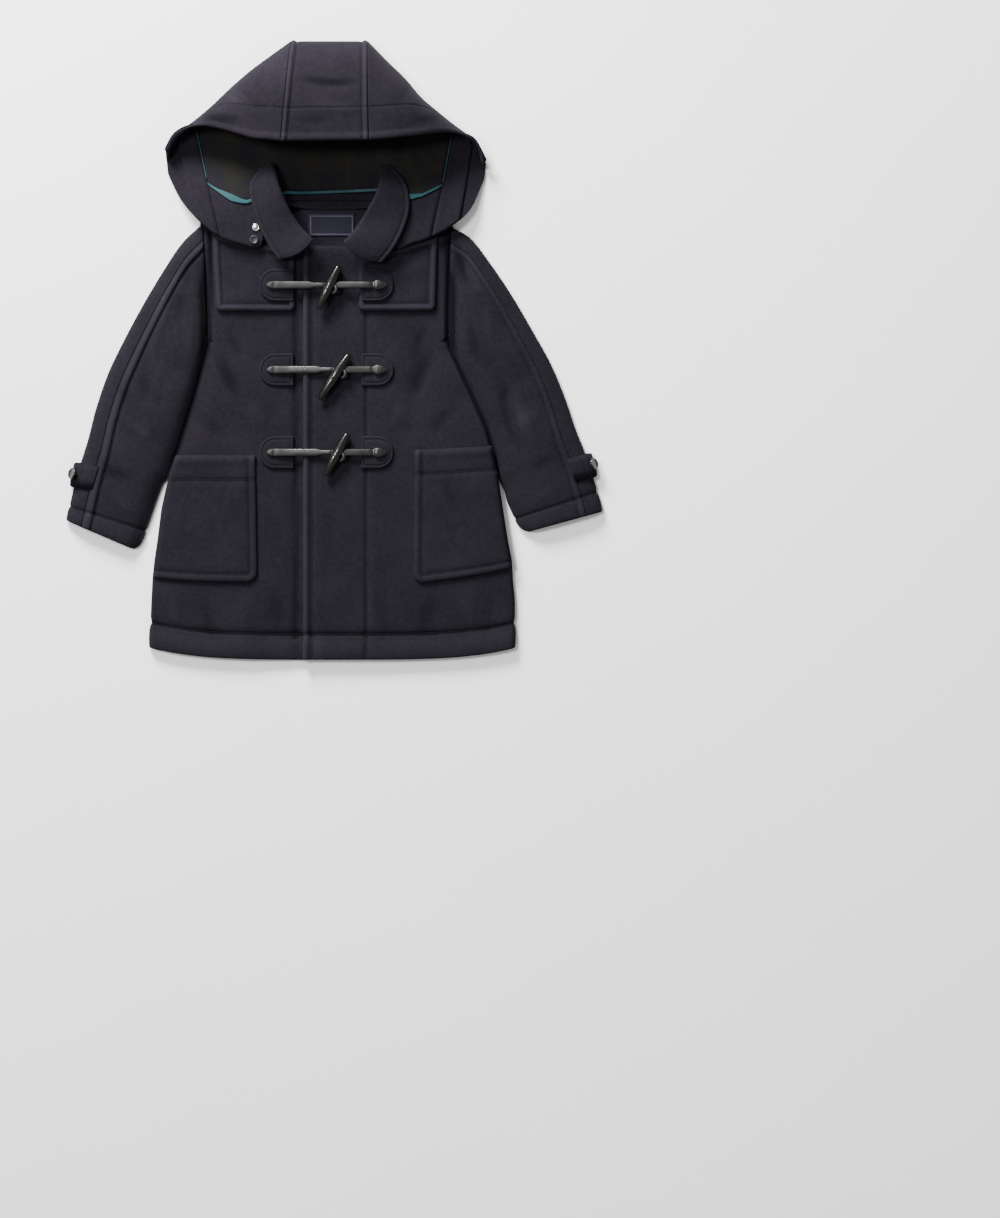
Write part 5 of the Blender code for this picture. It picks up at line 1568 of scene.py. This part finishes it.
# level of the straps, top and end of the toggle, whether the patches lie on the flaps
FASTENINGS = (
    (74.0, (7.0, 95.0), (-16.5, 47.0), True),
    (-19.0, (18.0, -2.0), (-15.0, -52.0), False),
    (-110.0, (16.5, -89.0), (-9.0, -136.0), False),
)
TOGGLE_RADIUS, STRAP_WIDTH = 5.2, 8.0
TOGGLE_LIFT, TOGGLE_FLAP_LIFT, TOGGLE_BOW = 1.0, 1.2, 0.8
WAIST, WAIST_HALF = 0.9, 0.09             # where the strap goes through, as a share of the peg
PATCH, PATCH_HALF, PATCH_STITCH = 2.0, 18.0, 3.4
PATCH_X = {"near": (-81.5, -43.0), "far": (31.0, 67.0)}
ROUND_END, SQUARE_END = PATCH_HALF - 0.4, 1.5
NEAR_TIP_X, NEAR_LIFT_X = -73.0, -50.0    # the loop lies on its patch between these
FAR_LIFT_X, FAR_SEWN_X, FAR_TIP_X = 33.0, 41.0, 59.5
STRAP_CLEAR = 0.4
LOOP_RADIUS, LOOP_THICKNESS = 3.6, 3.0


def bridle_leather():
    """Black-brown leather with a waxed face, fine pores and rubbed edges."""
    made, tree, shader = finish_of("leather_black", Coat_Weight=0.05, Coat_Roughness=0.25,
                                   Specular_IOR_Level=0.42)
    where = in_object(tree)
    pores = Wire.node(tree, "ShaderNodeTexVoronoi", {"feature": "F1"}, {"Vector": where, "Scale": 1500.0})
    smear = noise(tree, where, 120.0, 3.0, 0.6)
    rubbed = noise(tree, where, 38.0, 2.0, 0.5)
    split = Wire.node(tree, "ShaderNodeSeparateXYZ", None, {0: Wire.node(tree, "ShaderNodeUVMap")})
    dull = 1.0 - between(split.out("Y"), 0.016, 0.030)
    color = blend(tree, smear, (0.0014, 0.0013, 0.0013, 1.0), (0.0050, 0.0045, 0.0043, 1.0))
    feed(shader, "Base Color", color)
    wear_and_painted_light = between(rubbed, 0.35, 0.65) * 0.22 + smear * 0.2
    feed(shader, "Roughness", wear_and_painted_light + dull * 0.3 + 0.16)
    feed_bump(shader, 0.35, 0.0002, pores + smear * 0.5)
    return made


def polished_horn():
    """Horn: nearly black, with olive and brown streaks along the peg, polished."""
    made, tree, shader = finish_of("horn_polished", Coat_Weight=0.15, Coat_Roughness=0.08,
                                   Specular_IOR_Level=0.32)
    where = Wire.node(tree, "ShaderNodeUVMap")
    streaks = noise(tree, stretched(tree, where, (260.0, 34.0, 1.0)), 1.0, 4.0, 0.62)
    cloud = noise(tree, where, 90.0, 2.0, 0.5)
    stops = ((0.30, (0.0010, 0.0009, 0.0007)), (0.54, (0.0026, 0.0022, 0.0013)),
             (0.68, (0.0066, 0.0054, 0.0028)), (0.82, (0.0200, 0.0160, 0.0090)))
    values = {"Fac": streaks * 0.75 + cloud * 0.25}
    feed(shader, "Base Color", Wire.node(tree, "ShaderNodeValToRGB", {"stops": stops}, values))
    feed(shader, "Roughness", streaks * 0.18 + 0.16)
    feed_bump(shader, 0.2, 0.0002, streaks)
    return made


BRIDLE, HORN = bridle_leather(), polished_horn()


def patch_lift(on_flap):
    return LAYER_GAP + FLAP_WALL if on_flap else 0.0


def toggle_patches():
    for number, (level, _, _, on_flap) in enumerate(FASTENINGS, start=1):
        for hand, (first, last) in PATCH_X.items():
            low, high = level - PATCH_HALF, level + PATCH_HALF
            corners = [(first, low), (last, low), (last, high), (first, high)]
            start, end = (ROUND_END, SQUARE_END) if hand == "near" else (SQUARE_END, ROUND_END)
            radii = [start, end, end, start]
            sewn_on(f"patch_cloth_{hand}_{number}", f"patch_{hand}_{number}", corners, radii,
                    front_ground(hand, patch_lift(on_flap)), LAYER_GAP, PATCH, PATCH_STITCH, 2.0,
                    WOOL, "wool", 0.4, (8, 12), sink=0.5)


def tube_faces(rows, sides):
    """Faces of a closed tube of rings, with a cap on both ends."""
    faces = [tuple(range(sides)), tuple((rows - 1) * sides + j for j in reversed(range(sides)))]
    for i in range(rows - 1):
        for j in range(sides):
            a, b = i * sides + j, i * sides + (j + 1) % sides
            faces.append((a, a + sides, b + sides, b))
    return faces


def swept(name, middle, widths, heights, finish, slot, nodes, sides=14, power=2.6):
    """A strip swept along a line, with a rounded section of its own width and height."""
    ahead = np.gradient(middle, axis=0)
    ahead /= np.linalg.norm(ahead, axis=1, keepdims=True)
    aside = np.cross(ahead, (0.0, 0.0, 1.0))
    aside /= np.maximum(np.linalg.norm(aside, axis=1, keepdims=True), 1e-9)
    over = np.cross(aside, ahead)
    angles = np.linspace(0, 2 * math.pi, sides + 1)[:-1]
    c, s = np.cos(angles), np.sin(angles)
    c, s = np.sign(c) * np.abs(c) ** (2 / power), np.sign(s) * np.abs(s) ** (2 / power)
    points = (middle[:, None] + aside[:, None] * (c[None, :] * widths[:, None] / 2)[..., None]
              + over[:, None] * (s[None, :] * heights[:, None] / 2)[..., None])
    piece = made_piece(name, points.reshape(-1, 3), tube_faces(len(middle), sides), finish)
    u = np.sin(angles)[None, :] * widths[:, None] / 2
    v = np.broadcast_to(length_run(middle)[:, None], u.shape)
    add_uv(piece, np.stack((u, v), axis=-1).reshape(-1, 2))
    declare(piece, slot, *nodes)


def strap_line(level, places, stops, bulge):
    """Middle line of a strap along X, whose underside follows the stops."""
    under = np.interp(places, [stop[0] for stop in stops], [stop[1] for stop in stops])
    return np.column_stack((places, np.full(len(places), level), under + bulge / 2))


def fasten():
    toggle_patches()
    for number, (level, top, end, on_flap) in enumerate(FASTENINGS, start=1):
        share = (level - end[1]) / (top[1] - end[1])
        middle_x = end[0] + (top[0] - end[0]) * share
        height = float(front_height("far", np.array(middle_x), np.array(level)))
        height += TOGGLE_RADIUS + TOGGLE_LIFT + (TOGGLE_FLAP_LIFT if on_flap else 0.0)
        slant = abs(top[0] - end[0]) / abs(top[1] - end[1])
        clear = TOGGLE_RADIUS * math.hypot(1, slant) + STRAP_WIDTH / 2 * slant + SEAM

        def base_at(hand, x, on_flap=on_flap, level=level):
            ground = float(front_height(hand, np.array(x), np.array(level)))
            return ground + patch_lift(on_flap) + PATCH + LAYER_GAP + STRAP_CLEAR

        near_base, far_base = base_at("near", NEAR_TIP_X + 1.0), base_at("far", FAR_SEWN_X)
        near_end, far_start = middle_x - clear, middle_x + clear
        low = height - TOGGLE_RADIUS * 0.45
        # the loop: pointed end, row of stitches across it, then the doubled strap
        places = spread(NEAR_TIP_X, middle_x + 3.0, 1.6, (NEAR_TIP_X,), 0.5, 3.0)
        stops = ((NEAR_TIP_X, near_base), (NEAR_LIFT_X, near_base), (near_end, low),
                 (middle_x + 3.0, low - 1.0))
        sewn_down = bell(places - NEAR_TIP_X - 8.5, 2.2)
        tip = np.sqrt(np.clip((places - NEAR_TIP_X + 0.25) / 6.5, 0.04, 1))
        narrow = 1 - 0.36 * smoothstep(near_end - 16, near_end - 8, places)
        thick = (2.9 - 1.5 * sewn_down) * np.clip(tip + 0.1, 0.3, 1)
        swept(f"strap_leather_near_{number}", strap_line(level, places, stops, thick),
              STRAP_WIDTH * 1.04 * tip * narrow, thick, BRIDLE, "leather", [f"strap_near_{number}"])
        # the end of the loop, which comes round the peg
        turn = np.linspace(-0.55 * math.pi, 0.55 * math.pi, 17)
        loop = np.column_stack((middle_x + 3.4 + LOOP_RADIUS * np.cos(turn),
                                level - 4.6 + LOOP_RADIUS * 1.2 * np.sin(turn),
                                height + 0.6 + 2.2 * np.cos(turn)))
        girth = np.full(17, LOOP_THICKNESS)
        swept(f"strap_loop_{number}", loop, girth + 0.2, girth, BRIDLE, "leather", [], power=2.0)
        # the strap that carries the peg
        places = spread(middle_x - 1.0, FAR_TIP_X, 1.6, (FAR_TIP_X,), 0.5, 3.0)
        stops = ((middle_x - 1.0, low - 1.0), (far_start, low + 1.6), (FAR_LIFT_X, far_base + 0.3),
                 (FAR_SEWN_X, far_base), (FAR_TIP_X, base_at("far", FAR_TIP_X)))
        sewn_down = bell(places - FAR_TIP_X + 15.0, 1.8)
        head = smoothstep(FAR_TIP_X - 16, FAR_TIP_X - 12, places)
        tip = np.sqrt(np.clip((FAR_TIP_X + 0.25 - places) / 9.0, 0.03, 1))
        thick = (2.3 + 0.9 * head - 1.2 * sewn_down) * np.clip(tip + 0.1, 0.3, 1)
        width = STRAP_WIDTH * (0.92 + 0.42 * head - 0.18 * sewn_down) * tip
        swept(f"strap_leather_far_{number}", strap_line(level, places, stops, thick), width, thick,
              BRIDLE, "leather", [f"strap_far_{number}"])
        # the peg: tapered to both ends, with a shallow waist where the strap goes through
        along = np.linspace(-1, 1, 41)
        top3, end3 = np.array((*top, height)), np.array((*end, height))
        line = (top3 + end3) / 2 + (top3 - end3) / 2 * along[:, None]
        line[:, 2] += TOGGLE_BOW * (1 - along ** 2)
        taper = np.where(along > 0, 0.46, 0.62) * np.abs(along) ** 1.7
        girth = 2.2 * TOGGLE_RADIUS * (1 - taper) - WAIST * bell(along, WAIST_HALF)
        girth *= np.sqrt(np.clip((1.004 - np.abs(along)) / 0.05, 0.02, 1))
        swept(f"toggle_horn_{number}", line, girth, girth * 0.94, HORN, "horn", [f"toggle_{number}"],
              sides=20, power=2.0)


fasten()

# ----------------------------------------------------------------- cuff tabs
# A tab of melton comes from each sleeve's front seam round its outer edge, with a round end
# that is held by a horn button.

TAB_STATION = {"near": (7.9, 8.1), "far": (8.025, 8.2)}   # of 10 along the sleeve, at both ends
TAB_HALF, TAB_CORNER = 16.0, 6.0
TAB_START, TAB_TURN, TAB_END = 24.0, 9.0, -0.5            # ways from the sleeve's outer edge
TAB_CLEAR, TAB_RISE, TAB_WALL, TAB_STITCH = 0.5, 3.4, 2.4, 3.6
BUTTON_TILT, BUTTON_CLEAR, BUTTON_HALF = math.radians(36), 0.6, 1.5
# radius and height: the back, a raised rim and a dished middle
BUTTON_PROFILE = ((5.4, -BUTTON_HALF), (6.4, -0.9), (6.6, 0.1), (6.3, 1.0), (5.7, BUTTON_HALF), (5.0, 1.35),
                  (4.2, 0.75), (2.4, 0.6), (0.3, 0.6))
TURNED_SIDES = 40


def turned(name, node, place, profile, finish, slot, axis=(0.0, 0.0, 1.0), across=(1.0, 0.0, 0.0)):
    """A round fitting turned from a profile of radius and height, about its axis."""
    angles = np.linspace(0, 2 * math.pi, TURNED_SIDES + 1)[:-1, None]
    other = np.cross(axis, across)
    spokes = np.cos(angles) * across + np.sin(angles) * other
    rings = [np.array(place) + np.array(axis) * height + spokes * radius for radius, height in profile[::-1]]
    points = np.concatenate(rings)
    piece = made_piece(name, points, tube_faces(len(profile), TURNED_SIDES), finish)
    add_uv(piece, np.column_stack((points @ across, points @ other)))
    declare(piece, slot, node)


def cuff_tabs():
    for hand in SLEEVE:
        first, last = TAB_STATION[hand]
        ends = spline(SLEEVE[hand], (last - 0.1, last, last + 0.1))[:, :2]
        station_mm = np.linalg.norm(ends[2] - ends[0]) / 0.2

        def ground(aside, way, hand=hand, first=first, last=last, station_mm=station_mm):
            """The sleeve's face, by the distance along the arm from the tab's middle and the way."""
            share = (TAB_START - way) / (TAB_START - TAB_END)
            place = first + (last - first) * share + aside / station_mm
            rows = spline(SLEEVE[hand], np.ravel(place)).reshape(np.shape(place) + (5,))
            return sleeve_point(rows, way)

        stitched = 1 - TAB_STITCH / TAB_HALF
        side = spread(-1.0, 1.0, 0.1, (-1.0, 1.0, -stitched, stitched), 0.03, 0.12)
        ways = np.concatenate((np.linspace(TAB_START, TAB_TURN, 16), np.linspace(8.2, TAB_END, 26)))
        side, way = np.meshgrid(side, ways, indexing="ij")
        aside = side * (TAB_HALF - corner_cut(way - TAB_END, TAB_CORNER))
        lift = TAB_CLEAR + TAB_RISE * np.clip((TAB_TURN - way) / (TAB_TURN - TAB_END), 0, 1)
        apart = from_round_corner(TAB_HALF - np.abs(aside), way - TAB_END, TAB_CORNER)
        relief = rolled(apart, 1.1) + padded_edge(apart, TAB_STITCH, 0.9)
        relief += groove(apart, TAB_STITCH, 0.8, 0.8)
        base, normals = lifted(ground, aside, way, TAB_WALL + lift + relief)
        inner = lifted(ground, aside, way, lift)[0]
        outer, inner, relief = facing_out(base, normals, base, inner, relief)
        piece = mesh_wall(f"cuff_tab_cloth_{hand}", outer, inner, WOOL, relief)
        declare_cloth(piece, base, [f"sleeve_front_panel_{hand}"], [f"cuff_tab_{hand}"], "wool")

        away = np.array((ends[2][1] - ends[0][1], ends[0][0] - ends[2][0]))
        away /= -INWARD[hand] * np.linalg.norm(away) * np.sign(away[0])
        reach = EDGE_RADIUS + TAB_CLEAR + TAB_RISE * 0.75 + TAB_WALL + BUTTON_CLEAR + BUTTON_HALF
        axis = np.array((*(away * math.cos(BUTTON_TILT)), math.sin(BUTTON_TILT)))
        place = np.array((*(ends[1] - away * EDGE_RADIUS), EDGE_RADIUS)) + axis * reach
        across = np.array((-axis[1], axis[0], 0.0)) / math.hypot(axis[0], axis[1])
        turned(f"cuff_button_horn_{hand}", f"cuff_button_{hand}", place, BUTTON_PROFILE, HORN, "horn",
               axis, across)


cuff_tabs()

# ------------------------------------------------------ press stud and button
# A nickel press stud and a small grey button on the hood's front edge close it under the chin.

STUD_PLACE, HOOD_BUTTON_PLACE = (-84.5, 137.0), (-86.5, 123.5)
STUD_PROFILE = ((4.2, 0.0), (4.2, 0.5), (3.9, 0.9), (3.3, 1.1), (2.9, 0.9), (2.2, 0.9), (2.0, 1.5),
                (1.5, 1.8), (0.6, 1.9))
HOOD_BUTTON_PROFILE = ((4.4, 0.0), (4.9, 0.4), (5.0, 1.1), (4.7, 1.9), (4.1, 2.3), (3.6, 2.1), (2.8, 1.5),
                       (1.0, 1.4))


def nickel():
    """Bright nickel with fine wear."""
    made, tree, shader = finish_of("stud_nickel", Metallic=1.0)
    where = in_object(tree)
    wear_and_painted_light = noise(tree, where, 700.0, 2.0, 0.5)
    feed(shader, "Base Color", blend(tree, wear_and_painted_light, (0.34, 0.34, 0.35, 1.0), (0.50, 0.49, 0.48, 1.0)))
    feed(shader, "Roughness", wear_and_painted_light * 0.2 + 0.16)
    return made


def grey_resin():
    """Dull grey resin, a little cloudy."""
    made, tree, shader = finish_of("button_grey", Coat_Weight=0.05, Coat_Roughness=0.3,
                                   Specular_IOR_Level=0.2)
    cloud = noise(tree, in_object(tree), 500.0, 2.0, 0.5)
    color = blend(tree, cloud, (0.0085, 0.0080, 0.0095, 1.0), (0.0180, 0.0175, 0.0200, 1.0))
    feed(shader, "Base Color", color)
    feed(shader, "Roughness", cloud * 0.2 + 0.35)
    return made


for name, node, (x, y), profile, finish, slot in (
        ("hood_stud_nickel", "hood_stud", STUD_PLACE, STUD_PROFILE, nickel(), "metal"),
        ("hood_button_grey", "hood_button", HOOD_BUTTON_PLACE, HOOD_BUTTON_PROFILE, grey_resin(), "button")):
    level = float(hood_bed(x, y)) + WALL + LAYER_GAP + THIN + SEAM
    turned(name, node, (x, y, level), profile, finish, slot)

# ----------------------------------------------------- surface, light and camera
# A plain pale surface, a soft lamp from the top and a weaker one from the left, in a white room.
# The camera looks straight down on the coat.

FRAME_MM = (1100.0, 1339.8)              # what the camera sees of the surface
AIM = (183.7, -282.15)                   # its middle, in the frame of the tables
CAMERA_HEIGHT = 8.0
SENSOR_MM = 36.0
SURFACE_HALF, SURFACE_LEVEL = 6.0, -0.0004    # metres
KEY_PLACE, KEY_WATT = (-0.95, 2.04, 1.15), 345.0
FILL_PLACE, FILL_WATT = (-2.0, 0.9, 4.0), 200.0
LAMP_SIZE, ROOM_STRENGTH = 1.0, 0.62


def surface():
    mesh = bpy.data.meshes.new("surface")
    corners = [(x * SURFACE_HALF, y * SURFACE_HALF, SURFACE_LEVEL) for x, y in
               ((-1, -1), (1, -1), (1, 1), (-1, 1))]
    mesh.from_pydata(corners, [], [(0, 1, 2, 3)])
    floor = bpy.data.objects.new("surface", mesh)
    bpy.context.scene.collection.objects.link(floor)
    made, tree, shader = finish_of("surface_white", Roughness=0.75, Specular_IOR_Level=0.2)
    where = in_object(tree)
    soft = noise(tree, where, 3.0, 2.0, 0.5)
    feed(shader, "Base Color", blend(tree, soft, (0.80, 0.80, 0.80, 1.0), (0.84, 0.84, 0.84, 1.0)))
    mesh.materials.append(made)


def lamp(name, place, power):
    light = bpy.data.lights.new(name, "AREA")
    light.shape, light.size, light.energy = "DISK", LAMP_SIZE, power
    holder = bpy.data.objects.new(name, light)
    holder.location = place
    aim = Vector((0.0, 0.0, 0.0)) - Vector(place)
    holder.rotation_euler = aim.to_track_quat("-Z", "Y").to_euler()
    bpy.context.scene.collection.objects.link(holder)


def camera():
    lens = bpy.data.cameras.new("camera")
    lens.lens = SENSOR_MM * CAMERA_HEIGHT / (FRAME_MM[1] * MM)
    lens.sensor_width = SENSOR_MM
    holder = bpy.data.objects.new("camera", lens)
    holder.location = ((AIM[0] + HOME[0]) * MM, (AIM[1] + HOME[1]) * MM, CAMERA_HEIGHT + LAID * MM)
    bpy.context.scene.collection.objects.link(holder)
    bpy.context.scene.camera = holder


surface()
lamp("key", KEY_PLACE, KEY_WATT)
lamp("fill", FILL_PLACE, FILL_WATT)
room = bpy.data.worlds.new("room")
room.use_nodes = True
room.node_tree.nodes["Background"].inputs["Color"].default_value = (1.0, 1.0, 1.0, 1.0)
room.node_tree.nodes["Background"].inputs["Strength"].default_value = ROOM_STRENGTH
bpy.context.scene.world = room
camera()
